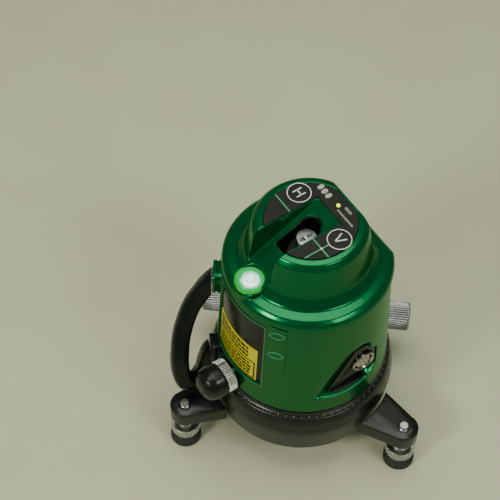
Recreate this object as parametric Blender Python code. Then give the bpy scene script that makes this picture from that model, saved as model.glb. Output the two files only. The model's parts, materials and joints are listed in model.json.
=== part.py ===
"""Self-levelling laser level on a turning base: a D-shaped body over a three-legged azimuth base.

Metres, +Z up.  The origin is on the turning axis at the surface that the feet stand on, and the
instrument's front (vial, window and label) faces -Y.
"""
import math

import bmesh
import bpy
from mathutils import Matrix, Vector

GAP = 0.0003                     # running gap that neighbours keep

# Heights above the ground
FOOT_TOP = 0.009
BASE_LOW = 0.030                 # underside of the base plate
BASE_TOP = 0.0742                # top deck of the base housing
BODY_LOW = 0.081                 # lower edge of the body shell
SEAM = 0.185                     # joint between the body shell and the top cap
TOP = 0.232                      # key deck on top of the drum

# Body shell: a cone frustum cut by a flat at the back
BODY_R_TOP = 0.0600
BODY_R_LOW = 0.0645
FLAT_TOP = 0.0515
FLAT_LOW = 0.0550
WALL = 0.0022

# Base: the housing, the leg circle and the worm drive
HOUSING_R = 0.0707
LEG_CIRCLE_R = 0.0965
FOOT_R = 0.012
WORM_Z = 0.0432
WORM_OFFSET = 0.0545
WORM_TURN = math.radians(49.6)   # direction of the worm shaft, body at rest facing -Y
WORM_R = 0.0065
WHEEL_R = WORM_OFFSET - WORM_R - GAP
WHEEL_TEETH = 64
KNOB_R = 0.0113
KNOB_IN = 0.0625
KNOB_OUT = 0.0830
LEG_TURNS = [WORM_TURN + math.radians(90 + 120 * k) for k in range(3)]

# Cap: the sloping channel, the beam hole, the vial and the key deck
CHANNEL_HALF = 0.013
CHANNEL_BACK = 0.0147
RAMP_SLOPE = 0.4843
HOLE_HALF = 0.0085
HOLE_FRONT = -0.023
VIAL_Y = -0.049
VIAL_R = 0.0099
VIAL_TOP = 0.202
DECK_R = 0.0322
DECK_FLAT = 0.0300
BUTTON_X = 0.0237
BUTTON_Y = 0.0068
BUTTON_R = 0.0076
BUTTON_STEM_R = 0.003
LED_Y = 0.023
LED_R = 0.0015

# Front panel, connector and lock knob
FRONT = math.radians(-90)
PANEL_HALF = math.radians(26)
LABEL_HALF = math.radians(21.7)
WINDOW_HALF = math.radians(22)
CONNECTOR_Y = 0.0112
CONNECTOR_Z = 0.1185
SCOOP_FLOOR = 0.0560             # X of the flat at the bottom of the connector scoop
LOCK_Z = 0.091
LOCK_RING_R = 0.0128
LOCK_CAP_R = 0.0138

# Pendulum
PIVOT_Z = 0.192
MODULE_Y = -0.0024
BATTERY_R = 0.00725
BATTERY_LEN = 0.0505

COLOURS = {
    "body_green": ((0.004, 0.22, 0.09), 0.28, 0.75),
    "black_plastic": ((0.012, 0.012, 0.013), 0.38, 0.0),
    "key_film": ((0.008, 0.009, 0.009), 0.3, 0.0),
    "key_print": ((0.75, 0.76, 0.72), 0.4, 0.0),
    "led_lime": ((0.75, 1.0, 0.1), 0.3, 0.0),
    "vial_glass": ((0.25, 1.0, 0.45), 0.05, 0.0),
    "vial_collar": ((0.02, 0.7, 0.2), 0.3, 0.0),
    "window_glass": ((0.01, 0.015, 0.015), 0.06, 0.0),
    "label_yellow": ((0.75, 0.65, 0.02), 0.45, 0.0),
    "satin_silver": ((0.72, 0.72, 0.70), 0.32, 1.0),
    "knob_grey": ((0.34, 0.35, 0.34), 0.4, 1.0),
    "nickel": ((0.66, 0.63, 0.56), 0.2, 1.0),
    "brass": ((0.72, 0.50, 0.20), 0.3, 1.0),
    "insert_cream": ((0.62, 0.55, 0.36), 0.5, 0.0),
    "aluminium": ((0.60, 0.61, 0.62), 0.4, 1.0),
    "board_green": ((0.02, 0.16, 0.06), 0.5, 0.0),
    "battery_wrap": ((0.06, 0.07, 0.09), 0.35, 0.0),
    "rubber": ((0.018, 0.018, 0.018), 0.8, 0.0),
}
materials = {}


def clear_scene():
    for old in list(bpy.data.objects):
        bpy.data.objects.remove(old, do_unlink=True)


def make_materials():
    for name, (colour, roughness, metallic) in COLOURS.items():
        material = bpy.data.materials.new(name)
        material.use_nodes = True
        shader = material.node_tree.nodes["Principled BSDF"]
        shader.inputs["Base Color"].default_value = (*colour, 1.0)
        shader.inputs["Roughness"].default_value = roughness
        shader.inputs["Metallic"].default_value = metallic
        materials[name] = material


def frame(name, location=(0, 0, 0), turn=0.0, parent=None):
    """An empty that carries the pieces of one moving group."""
    empty = bpy.data.objects.new(name, None)
    bpy.context.scene.collection.objects.link(empty)
    empty.location = location
    empty.rotation_euler = (0, 0, turn)
    empty.parent = parent
    return empty


def add(name, bm, material, parent=None, location=(0, 0, 0), rotation=(0, 0, 0), smooth=35):
    bmesh.ops.recalc_face_normals(bm, faces=bm.faces)
    mesh = bpy.data.meshes.new(name)
    bm.to_mesh(mesh)
    bm.free()
    mesh.materials.append(materials[material])
    mesh.shade_smooth()
    mesh.set_sharp_from_angle(angle=math.radians(smooth))
    piece = bpy.data.objects.new(name, mesh)
    bpy.context.scene.collection.objects.link(piece)
    piece.location = location
    piece.rotation_euler = rotation
    piece.parent = parent
    return piece


def helper(name, bm, parent=None, location=(0, 0, 0), rotation=(0, 0, 0)):
    """A cutting or joining shape that is not a piece of its own."""
    tool = add(name, bm, "rubber", parent, location, rotation)
    tool.hide_render = True
    tool.display_type = "WIRE"
    return tool


def boolean(target, tool, operation="DIFFERENCE"):
    modifier = target.modifiers.new(f"{operation.lower()}_{tool.name}", "BOOLEAN")
    modifier.operation = operation
    modifier.solver = "EXACT"
    modifier.object = tool
    return target


# ---------------------------------------------------------------- shapes

def arc(radius, start, end, steps, centre=(0, 0)):
    """Points on an arc, both ends included; angles in radians."""
    turns = [start + (end - start) * k / steps for k in range(steps + 1)]
    return [(centre[0] + radius * math.cos(a), centre[1] + radius * math.sin(a)) for a in turns]


def circle(radius, steps, centre=(0, 0)):
    return arc(radius, 0, math.tau, steps, centre)[:-1]


def fluted(radius, depth, flutes):
    """A round outline with V-shaped flutes."""
    turns = [math.tau * k / (2 * flutes) for k in range(2 * flutes)]
    radii = [radius - depth * (k % 2) for k in range(2 * flutes)]
    return [(r * math.cos(a), r * math.sin(a)) for r, a in zip(radii, turns)]


def d_outline(radius, flat, steps=34):
    """A circle cut by a flat at +Y, listed from one end of the flat round the front."""
    half = math.acos(flat / radius)
    return arc(radius, math.pi / 2 - half, math.pi / 2 + half - math.tau, steps)


def rounded_box(half_x, half_y, radius, steps=4):
    points = []
    for quarter, (sx, sy) in enumerate(((1, 1), (-1, 1), (-1, -1), (1, -1))):
        centre = (sx * (half_x - radius), sy * (half_y - radius))
        points += arc(radius, quarter * math.pi / 2, (quarter + 1) * math.pi / 2, steps, centre)
    return points


def loft(sections):
    """A closed solid through outlines of equal length, capped at both ends."""
    bm = bmesh.new()
    rings = [[bm.verts.new(point) for point in section] for section in sections]
    count = len(rings[0])
    for low, high in zip(rings, rings[1:]):
        for k in range(count):
            bm.faces.new((low[k], low[(k + 1) % count], high[(k + 1) % count], high[k]))
    bm.faces.new(rings[0])
    bm.faces.new(rings[-1])
    return bm


def prism(outline, low, high):
    return loft([[(x, y, z) for x, y in outline] for z in (low, high)])


def side_prism(outline, half_x):
    """A prism along X from an outline given in Y and Z."""
    return loft([[(x, y, z) for y, z in outline] for x in (-half_x, half_x)])


def stack(levels, outline_of):
    """A loft through outlines at the heights in levels, each (height, *sizes)."""
    return loft([[(x, y, level[0]) for x, y in outline_of(*level[1:])] for level in levels])


def turned(profile, steps):
    """A solid of revolution about Z from a closed outline of (radius, height) points."""
    bm = bmesh.new()
    rings = []
    for radius, height in profile:
        points = [(0, 0)] if radius == 0 else circle(radius, steps)
        rings.append([bm.verts.new((x, y, height)) for x, y in points])
    for low, high in zip(rings, rings[1:] + rings[:1]):
        if len(low) == len(high) == 1:
            continue
        for k in range(steps):
            j = (k + 1) % steps
            if len(low) == 1:
                bm.faces.new((low[0], high[j], high[k]))
            elif len(high) == 1:
                bm.faces.new((low[k], low[j], high[0]))
            else:
                bm.faces.new((low[k], low[j], high[j], high[k]))
    return bm


def disc(radius, low, high, steps=24):
    return prism(circle(radius, steps), low, high)


def ring(inner, outer, low, high, steps=32):
    return turned([(inner, low), (outer, low), (outer, high), (inner, high)], steps)


def box(low, high):
    outline = [(low[0], low[1]), (high[0], low[1]), (high[0], high[1]), (low[0], high[1])]
    return prism(outline, low[2], high[2])


def body_radius(height):
    """Outer radius of the tapered body shell at a height."""
    return BODY_R_LOW + (BODY_R_TOP - BODY_R_LOW) * (height - BODY_LOW) / (SEAM - BODY_LOW)


def sector(middle, half, low, high, inside, outside, steps=12):
    """A curved plate that follows the body shell, set in or out from its surface."""
    sections = []
    for height in (low, high):
        inner = arc(body_radius(height) + inside, middle - half, middle + half, steps)
        outer = arc(body_radius(height) + outside, middle + half, middle - half, steps)
        sections.append([(x, y, height) for x, y in inner + outer])
    return loft(sections)


def ramp_height(y):
    """Height of the channel floor, which slopes down towards the vial."""
    return TOP - 0.0005 - RAMP_SLOPE * (CHANNEL_BACK - y)


# ---------------------------------------------------------------- base

HOUSING_INNER = [(0.0625, 0.0710), (0.0672, 0.0560), (0.0652, 0.0332)]


def make_base(base):
    worm_frame = frame("worm_frame", (0, 0, WORM_Z), WORM_TURN, base)
    along = (0, math.pi / 2, 0)
    housing_profile = [
        (0.0245, BASE_TOP), (0.0645, BASE_TOP), (0.0678, 0.0700), (HOUSING_R, 0.0600),
        (HOUSING_R, 0.0555), (0.0682, 0.0332), *reversed(HOUSING_INNER), (0.0245, 0.0710),
    ]
    housing = add("base_housing", turned(housing_profile, 40), "black_plastic", base)
    tube = helper("worm_tube", disc(0.0100, -0.0605, 0.0605, 20), worm_frame,
                  (0, WORM_OFFSET, 0), along)
    hollow = helper("base_hollow", turned([(0, 0.0710), *HOUSING_INNER, (0, 0.0332)], 40), base)
    tube_shell = boolean(tube, hollow)
    boolean(housing, tube_shell, "UNION")
    shaft_bore = helper("worm_bore", disc(0.0045, -0.07, 0.07, 16), worm_frame,
                        (0, WORM_OFFSET, 0), along)
    boolean(housing, shaft_bore)

    dial = [(0.0575, 0.0745), (0.0658, 0.0745), (0.0660, 0.0795), (0.0652, 0.0802), (0.0575, 0.0802)]
    add("azimuth_dial_ring", turned(dial, 40), "black_plastic", base)
    plate = turned([(0.0134, BASE_LOW), (0.0650, BASE_LOW), (0.0660, 0.0310), (0.0660, 0.0329),
                    (0.0134, 0.0329)], 36)
    add("base_plate", plate, "black_plastic", base)
    bush = turned([(0, 0.0410), (0.0079, 0.0410), (0.0079, BASE_LOW), (0.0131, BASE_LOW),
                   (0.0131, 0.0332), (0.0160, 0.0332), (0.0160, 0.0360), (0.0131, 0.0360),
                   (0.0131, 0.0430), (0, 0.0430)], 20)
    add("tripod_bush", bush, "brass", base)
    add("turntable_bearing", ring(0.0184, 0.0242, 0.0630, 0.0745, 28), "nickel", base)

    keep_out = helper("leg_clearance", disc(HOUSING_R + 0.0006, 0.02, 0.08, 40), base)
    for number, turn in enumerate(LEG_TURNS, 1):
        make_leg(base, number, turn, keep_out)
    make_worm(worm_frame)


def make_leg(base, number, turn, keep_out):
    """One cast leg arm, its levelling screw and its foot pad."""
    leg = frame(f"leg_{number}_frame", (0, 0, 0), turn, base)
    tip = arc(0.0115, -math.pi / 2, math.pi / 2, 8, (LEG_CIRCLE_R, 0))
    outline = [(0.060, -0.019), *tip, (0.060, 0.019)]
    levels = [(0.0330, 0.95), (0.0350, 1.0), (0.0460, 1.0), (0.0480, 0.95)]
    middle = 0.078

    def shrunk(scale):
        return [(middle + (x - middle) * scale, y * scale) for x, y in outline]

    arm = add(f"leg_arm_{number}", stack(levels, shrunk), "black_plastic", leg)
    boolean(arm, keep_out)
    bore = helper(f"leg_bore_{number}", disc(0.0046, 0.02, 0.06, 16), leg, (LEG_CIRCLE_R, 0, 0))
    boolean(arm, bore)

    foot = frame(f"foot_{number}_frame", (LEG_CIRCLE_R, 0, 0), 0, leg)
    pad = turned([(0, 0), (FOOT_R - 0.001, 0), (FOOT_R, 0.001), (FOOT_R, 0.006), (0.0085, FOOT_TOP),
                  (0.0042, FOOT_TOP), (0.0042, 0.0062), (0, 0.0062)], 20)
    add(f"foot_pad_{number}", pad, "rubber", foot)
    screw = turned([(0, 0.0066), (0.0032, 0.0066), (0.0038, 0.0090), (0.0038, 0.0497),
                    (0.0030, 0.0505), (0, 0.0505)], 12)
    rod = add(f"levelling_screw_{number}", screw, "satin_silver", foot)
    wheel = helper(f"screw_wheel_{number}", prism(fluted(0.0115, 0.0009, 14), 0.0125, 0.0210), foot)
    boolean(rod, wheel, "UNION")


def make_worm(worm_frame):
    """The fine-adjust shaft: a grooved worm between two fluted knobs."""
    along = (0, math.pi / 2, 0)
    place = (0, WORM_OFFSET, 0)
    grooves = 5
    pitch = math.tau * (WHEEL_R - 0.0008) / WHEEL_TEETH
    start = -grooves * pitch / 2
    profile = [(0, -0.0618), (0.004, -0.0618), (0.004, start - 0.0015)]
    for k in range(grooves):
        profile += [(WORM_R, start + (k + 0.2) * pitch), (WORM_R, start + (k + 0.5) * pitch),
                    (0.0048, start + (k + 0.7) * pitch), (0.0048, start + pitch * (k + 1))]
    profile += [(0.004, -start + 0.0015), (0.004, 0.0618), (0, 0.0618)]
    add("worm_shaft", turned(profile, 14), "nickel", worm_frame, place, along)
    for side, name in ((1, "fine_knob_right"), (-1, "fine_knob_left")):
        outline = fluted(KNOB_R, 0.0006, 18)
        low, high = sorted((side * KNOB_IN, side * KNOB_OUT))
        knob = stack([(low, 0.90), (low + 0.001, 1.0), (high - 0.001, 1.0), (high, 0.90)],
                     lambda scale: [(x * scale, y * scale) for x, y in outline])
        add(name, knob, "knob_grey", worm_frame, place, along)


def make_wheel(wheel_frame):
    """The worm wheel, which carries the turntable hub through its friction sleeve."""
    outline = fluted(WHEEL_R, 0.0016, WHEEL_TEETH)
    wheel = add("worm_wheel", prism(outline, WORM_Z - 0.0038, WORM_Z + 0.0038), "brass", wheel_frame)
    sleeve = helper("wheel_sleeve", disc(0.0235, 0.0430, 0.0600, 24), wheel_frame)
    boolean(wheel, sleeve, "UNION")
    bore = helper("wheel_bore", disc(0.0185, 0.03, 0.07, 24), wheel_frame)
    boolean(wheel, bore)


# ---------------------------------------------------------------- body

def scoop_outline(reach, grow):
    """The connector scoop's outline in Y and Z; it opens up and forward as reach goes to 1."""
    low = 0.0990 - grow
    points = [(-0.0215, low), (0.0090, low), (0.0165, low + 0.0020), (0.0215, low + 0.0070),
              (0.0238, 0.1150), (0.0225, 0.1310), (0.0150, 0.1370), (0.0020, 0.1350),
              (-0.0050, 0.1200), (-0.0150, 0.1050)]
    opened = []
    for y, z in points:
        rise = min(1.0, (z - low) / 0.006)
        lean = rise * min(1.0, max(0.0, 0.0190 - y) / 0.012)
        lift = min(1.0, max(0.0, z - 0.1050) / 0.015) * min(1.0, max(0.0, 0.0215 - y) / 0.008)
        out_y = grow if y > 0.0140 else -1.5 * grow
        out_z = grow if z > CONNECTOR_Z else 0
        opened.append((y - 0.0110 * reach * lean + out_y, z + 0.0170 * reach * lift + out_z))
    return opened


def scoop_solid(grow):
    """The scoop, from its flat floor out past the body; grow adds a wall all round it."""
    levels = ((SCOOP_FLOOR - grow, 0), (SCOOP_FLOOR, 0), (0.0665, 1))
    if grow == 0:
        levels = levels[1:]
    return loft([[(x, y, z) for y, z in scoop_outline(reach, grow)] for x, reach in levels])


def make_body_shell(turning):
    low, high = BODY_LOW, SEAM - 0.0006
    outer = [(low, BODY_R_LOW - 0.0006, FLAT_LOW - 0.0006), (low + 0.001, BODY_R_LOW, FLAT_LOW),
             (high, BODY_R_TOP, FLAT_TOP)]
    shell = add("body_shell", stack(outer, d_outline), "body_green", turning)
    inner = [(low - 0.002, BODY_R_LOW - WALL, FLAT_LOW - WALL),
             (high + 0.002, BODY_R_TOP - WALL, FLAT_TOP - WALL)]
    boolean(shell, helper("shell_hollow", stack(inner, d_outline), turning))
    backing = helper("scoop_backing", scoop_solid(0.0020), turning)
    middle = [(height, radius - WALL / 2, flat - WALL / 2) for height, radius, flat in outer]
    boolean(backing, helper("shell_middle", stack(middle, d_outline), turning), "INTERSECT")
    boolean(shell, backing, "UNION")
    recess = sector(FRONT, PANEL_HALF, 0.1040, 0.1775, -0.0012, 0.003)
    boolean(shell, helper("panel_recess", recess, turning))
    opening = sector(FRONT, WINDOW_HALF, 0.1490, 0.1755, -0.006, 0.003)
    boolean(shell, helper("window_opening", opening, turning))
    boolean(shell, helper("scoop", scoop_solid(0), turning))
    boolean(shell, helper("socket_opening", disc(0.0100, 0.050, 0.060, 20), turning,
                          (0, CONNECTOR_Y, CONNECTOR_Z), (math.pi / 2, 0, math.pi / 2)))
    lock_bore = helper("lock_bore", disc(0.0046, 0.055, 0.07, 16), turning, (0, 0, LOCK_Z),
                       (math.pi / 2, 0, 0))
    boolean(shell, lock_bore)
    door_hole = helper("door_opening", box((-0.0253, 0.045, 0.0977), (0.0253, 0.06, 0.1603)), turning)
    boolean(shell, door_hole)

    floor = [(0.0826, BODY_R_LOW - WALL - 0.0004, FLAT_LOW - WALL - 0.0004),
             (0.0852, BODY_R_LOW - WALL - 0.0006, FLAT_LOW - WALL - 0.0006)]
    plate = add("body_floor", stack(floor, d_outline), "aluminium", turning)
    boolean(plate, helper("floor_bore", disc(0.0126, 0.08, 0.09, 24), turning))
    hub = [(0.0060, 0.0450), (0.0180, 0.0450), (0.0180, 0.0765), (0.0300, 0.0775), (0.0300, 0.0822),
           (0.0120, 0.0822), (0.0120, 0.0850), (0.0060, 0.0850)]
    add("turntable_hub", turned(hub, 24), "aluminium", turning)


def make_front(turning):
    window = sector(FRONT, WINDOW_HALF - 0.006, 0.1494, 0.1751, -0.0022, -0.0010)
    add("front_window", window, "window_glass", turning)
    label = sector(FRONT, LABEL_HALF, 0.1062, 0.1462, -0.0009, -0.0003)
    add("label_plate", label, "label_yellow", turning)
    strip = sector(math.radians(-55.5), math.radians(7), 0.1270, 0.1790, 0.0003, 0.0013, 6)
    add("grip_strip", strip, "body_green", turning)


def make_cap(turning):
    outer = [
        (SEAM, 0.0606, 0.0521), (SEAM + 0.0005, 0.0610, 0.0525), (SEAM + 0.0025, 0.0608, 0.0523),
        (SEAM + 0.0055, 0.0590, 0.0508), (SEAM + 0.0075, 0.0540, 0.0470),
        (SEAM + 0.0100, 0.0490, 0.0420), (SEAM + 0.0145, 0.0455, 0.0375),
        (SEAM + 0.0210, 0.0437, 0.0350), (SEAM + 0.0360, 0.0415, 0.0338),
        (SEAM + 0.0415, 0.0402, 0.0332), (SEAM + 0.0452, 0.0370, 0.0326), (TOP, 0.0330, 0.0320),
    ]
    cap = add("top_cap", stack(outer, d_outline), "body_green", turning)
    boss = helper("vial_boss", disc(0.0113, 0.1888, 0.1985, 32), turning, (0, VIAL_Y, 0))
    boolean(cap, boss, "UNION")
    tongue_ends = (-0.0360, -0.0470)
    tongue = [(tongue_ends[0], 0.1895), (tongue_ends[1], 0.1895),
              (tongue_ends[1], ramp_height(tongue_ends[1])),
              (tongue_ends[0], ramp_height(tongue_ends[0]))]
    boolean(cap, helper("ramp_tongue", side_prism(tongue, CHANNEL_HALF - 0.0004), turning), "UNION")

    def under_ramp(drop, back, side):
        """The channel's space, or that space with its walls, as a wedge along X."""
        front = -0.070
        outline = [(back, ramp_height(back) - drop), (back, 0.245), (front, 0.245),
                   (front, ramp_height(front) - drop)]
        return side_prism(outline, side)

    boolean(cap, helper("channel", under_ramp(0, CHANNEL_BACK, CHANNEL_HALF), turning))
    hollow = [(SEAM - 0.002, 0.0575, 0.0490), (SEAM + 0.0035, 0.0572, 0.0487),
              (SEAM + 0.0036, 0.0415, 0.0318), (SEAM + 0.0375, 0.0375, 0.0308),
              (TOP - 0.0024, 0.0330, 0.0296)]
    inside = helper("cap_hollow", stack(hollow, d_outline), turning)
    walls = helper("channel_walls", under_ramp(0.0024, CHANNEL_BACK + 0.0022, CHANNEL_HALF + 0.002),
                   turning)
    boolean(inside, walls)
    boolean(cap, inside)
    hole = arc(HOLE_HALF, math.pi, 0, 12, (0, -0.0005)) + [(HOLE_HALF, HOLE_FRONT),
                                                           (-HOLE_HALF, HOLE_FRONT)]
    boolean(cap, helper("beam_hole", prism(hole, 0.195, 0.245), turning))
    boolean(cap, helper("vial_pocket", disc(VIAL_R + GAP, 0.1902, 0.21, 32), turning, (0, VIAL_Y, 0)))
    boolean(cap, helper("lamp_bore", disc(0.0028, 0.18, 0.195, 16), turning, (0, VIAL_Y, 0)))
    boolean(cap, helper("deck_recess", prism(deck_outline(GAP), TOP - 0.0010, TOP + 0.01), turning))
    for name, x in (("h", -BUTTON_X), ("v", BUTTON_X)):
        pocket = turned([(0, 0.21), (BUTTON_STEM_R + 0.0004, 0.21), (BUTTON_STEM_R + 0.0004, TOP - 0.0022),
                         (BUTTON_R + 0.0004, TOP - 0.0022), (BUTTON_R + 0.0004, TOP + 0.01),
                         (0, TOP + 0.01)], 24)
        boolean(cap, helper(f"{name}_pocket", pocket, turning, (x, BUTTON_Y, 0)))
    boolean(cap, helper("led_bore", disc(LED_R + GAP, 0.21, 0.24, 12), turning, (0, LED_Y, 0)))


def deck_outline(grow):
    """The horseshoe-shaped key deck: a disc with a flat back, open round the channel."""
    radius = DECK_R + grow
    side = CHANNEL_HALF + 0.0010 - grow
    back = CHANNEL_BACK + 0.0010 - grow
    flat_turn = math.asin((DECK_FLAT + grow) / radius)
    front_turn = math.acos(side / radius)
    right = arc(radius, flat_turn, -front_turn, 16)
    left = [(-x, y) for x, y in reversed(right)]
    return right + [(side, back), (-side, back)] + left


def make_controls(turning, h_frame, v_frame):
    film = add("key_overlay", prism(deck_outline(0), TOP - 0.0007, TOP + 0.0001), "key_film", turning)
    cuts = [("h_film_hole", -BUTTON_X, BUTTON_Y, BUTTON_R + 0.0004, 24),
            ("v_film_hole", BUTTON_X, BUTTON_Y, BUTTON_R + 0.0004, 24),
            ("led_film_hole", 0, LED_Y, LED_R + GAP, 12)]
    for name, x, y, radius, steps in cuts:
        boolean(film, helper(name, disc(radius, 0.22, 0.24, steps), turning, (x, y, 0)))
    for name, holder in (("h_line_button", h_frame), ("v_line_button", v_frame)):
        button = turned([(0, TOP - 0.0060), (BUTTON_STEM_R, TOP - 0.0060), (BUTTON_STEM_R, TOP - 0.0014),
                         (BUTTON_R, TOP - 0.0014), (BUTTON_R, TOP + 0.0002),
                         (BUTTON_R - 0.0004, TOP + 0.0005), (0, TOP + 0.0005)], 20)
        add(name, button, "key_print", holder, (0, 0, -holder.location.z))
    led = turned([(0, TOP - 0.0055), (LED_R, TOP - 0.0055), (LED_R, TOP + 0.0002),
                  (LED_R * 0.6, TOP + 0.0007), (0, TOP + 0.0008)], 12)
    add("status_led", led, "led_lime", turning, (0, LED_Y, 0))
    board = prism(arc(0.0330, math.radians(55), math.radians(-20), 10)
                  + [(0.0165, -0.0113), (0.0165, 0.0180), (-0.0165, 0.0180), (-0.0165, -0.0113)]
                  + arc(0.0330, math.radians(200), math.radians(125), 10), TOP - 0.0100, TOP - 0.0084)
    add("key_board", board, "board_green", turning)


def make_vial(turning):
    vial = turned([(0, 0.1905), (VIAL_R, 0.1905), (VIAL_R, VIAL_TOP - 0.0008),
                   (VIAL_R - 0.0010, VIAL_TOP), (0, VIAL_TOP + 0.0004)], 28)
    add("bullseye_vial", vial, "vial_glass", turning, (0, VIAL_Y, 0))
    collar = ring(VIAL_R + GAP, 0.0113, 0.1988, 0.2003, 28)
    piece = add("vial_collar", collar, "vial_collar", turning, (0, VIAL_Y, 0))
    clearance = side_prism([(-0.030, 0.18), (-0.0475, 0.18), (-0.0475, 0.21), (-0.030, 0.21)],
                           CHANNEL_HALF)
    boolean(piece, helper("collar_clearance", clearance, turning))
    lamp = turned([(0, 0.1840), (0.0025, 0.1840), (0.0025, 0.1885), (0.0015, 0.1900), (0, 0.1902)], 12)
    add("vial_lamp", lamp, "vial_glass", turning, (0, VIAL_Y, 0))


def make_connector(turning):
    across = (math.pi / 2, 0, math.pi / 2)
    plate = [[(x, y, z) for y, z in scoop_outline(0, -0.0005)]
             for x in (SCOOP_FLOOR + GAP, SCOOP_FLOOR + 0.0015)]
    bezel = add("connector_bezel", loft(plate), "black_plastic", turning)
    place = (0, CONNECTOR_Y, CONNECTOR_Z)
    boolean(bezel, helper("socket_bore", disc(0.0093, 0.05, 0.07, 24), turning, place, across))
    shell = turned([(0.0074, 0.0500), (0.0088, 0.0500), (0.0088, 0.0579), (0.0096, 0.0579),
                    (0.0096, 0.0594), (0.0088, 0.0601), (0.0074, 0.0601)], 24)
    add("connector_shell", shell, "nickel", turning, place, across)
    insert = turned([(0, 0.0505), (0.0070, 0.0505), (0.0070, 0.0588), (0, 0.0588)], 20)
    add("connector_insert", insert, "insert_cream", turning, place, across)


# ---------------------------------------------------------------- handle

def smooth_path(points, steps):
    """Points along a Catmull-Rom curve through the given ones."""
    padded = [2 * points[0] - points[1], *points, 2 * points[-1] - points[-2]]
    path = []
    for a, b, c, d in zip(padded, padded[1:], padded[2:], padded[3:]):
        for k in range(steps):
            t = k / steps
            path.append(0.5 * (2 * b + (c - a) * t + (2 * a - 5 * b + 4 * c - d) * t ** 2
                               + (3 * b - a - 3 * c + d) * t ** 3))
    return path + [points[-1]]


def handle_path(steps):
    """Centreline of the carrying handle, from turn about the axis, reach and height."""
    stations = [(-128.5, 0.0620, 0.1590), (-127, 0.0677, 0.1532), (-125, 0.0742, 0.1440),
                (-120.8, 0.0831, 0.1296), (-115, 0.0903, 0.1114), (-110, 0.0939, 0.0948),
                (-107.5, 0.0948, 0.0800), (-106, 0.0920, 0.0672), (-106.5, 0.0835, 0.0628),
                (-108.3, 0.0768, 0.0690), (-109.8, 0.0735, 0.0800), (-110.5, 0.0700, 0.0905),
                (-110.5, 0.0640, 0.0970)]
    points = []
    for degrees, reach, height in stations:
        turn = math.radians(degrees)
        points.append(Vector((reach * math.cos(turn), reach * math.sin(turn), height)))
    return smooth_path(points, steps)


def make_handle(turning):
    path = handle_path(2)
    sections = []
    for k, point in enumerate(path):
        along = (path[min(k + 1, len(path) - 1)] - path[max(k - 1, 0)]).normalized()
        outward = Vector((point.x, point.y, 0)).normalized()
        side = along.cross(outward).normalized()
        out = side.cross(along)
        sections.append([point + out * 0.0076 * math.cos(a) + side * 0.0078 * math.sin(a)
                         for a in (math.tau * n / 12 for n in range(12))])
    handle = add("carry_handle", loft(sections), "rubber", turning, smooth=60)
    trim = turned([(0, 0.050), (0.0718, 0.050), (0.0718, 0.120), (0.0684, 0.130), (0.0684, 0.190),
                   (0, 0.190)], 64)
    boolean(handle, helper("handle_trim", trim, turning))
    lugs = (("handle_lug_upper", -127, 0.1500, 0.1690, 0.0672, 0.0095, "body_green"),
            ("handle_lug_lower", -110.5, 0.0826, 0.1030, 0.0706, 0.0078, "black_plastic"))
    for name, degrees, low, high, reach, half_width, finish in lugs:
        inner = body_radius(low) + 0.0004
        lug = prism(rounded_box((reach - inner) / 2, half_width, 0.0015), low, high)
        turn = math.radians(degrees)
        middle = (inner + reach) / 2
        place = (middle * math.cos(turn), middle * math.sin(turn), 0)
        add(name, lug, finish, turning, place, (0, 0, turn))


# ---------------------------------------------------------------- lock knob

def make_lock(turning, lock_frame, plunger_frame):
    """Transport lock: a front knob whose cam lifts a plunger under the pendulum."""
    forward = (math.pi / 2, 0, 0)
    grip = fluted(LOCK_RING_R, 0.0006, 22)
    ring_piece = stack([(0.0666, 1.0), (0.0700, 1.0), (0.0706, 0.94)],
                       lambda scale: [(x * scale, y * scale) for x, y in grip])
    add("lock_knob_ring", ring_piece, "satin_silver", lock_frame, (0, 0, 0), forward)
    cap = turned([(0, 0.0709), (0.0128, 0.0709), (LOCK_CAP_R, 0.0720), (LOCK_CAP_R, 0.0800),
                  (0.0127, 0.0850), (0.0100, 0.0890), (0.0060, 0.0912), (0, 0.0920)], 24)
    add("lock_knob_cap", cap, "black_plastic", lock_frame, (0, 0, 0), forward)
    shaft = turned([(0, 0.0060), (0.0030, 0.0060), (0.0030, 0.0500), (0.0040, 0.0505),
                    (0.0040, 0.0663), (0, 0.0663)], 16)
    add("lock_shaft", shaft, "nickel", lock_frame, (0, 0, 0), forward)
    cam = disc(0.0045, -0.0035, 0.0035, 20)
    add("lock_cam", cam, "brass", lock_frame, (0, 0, -0.0027), forward)
    plunger = turned([(0, 0.0931), (0.0055, 0.0931), (0.0055, 0.0945), (0.0029, 0.0945),
                      (0.0029, 0.1000), (0.0045, 0.1000), (0.0045, 0.1012), (0, 0.1012)], 16)
    add("lock_plunger", plunger, "nickel", plunger_frame, (0, 0, -plunger_frame.location.z))
    outline = [(-0.0110, 0.0856), (-0.0110, 0.0992), (0.0110, 0.0992), (0.0110, 0.0856),
               (0.0090, 0.0856), (0.0090, 0.0978), (-0.0090, 0.0978), (-0.0090, 0.0856)]
    bracket = loft([[(x, y, z) for x, z in outline] for y in (-0.0060, 0.0060)])
    piece = add("lock_bracket", bracket, "aluminium", turning)
    boolean(piece, helper("plunger_bore", disc(0.0033, 0.097, 0.104, 16), turning))


# ---------------------------------------------------------------- power

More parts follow.
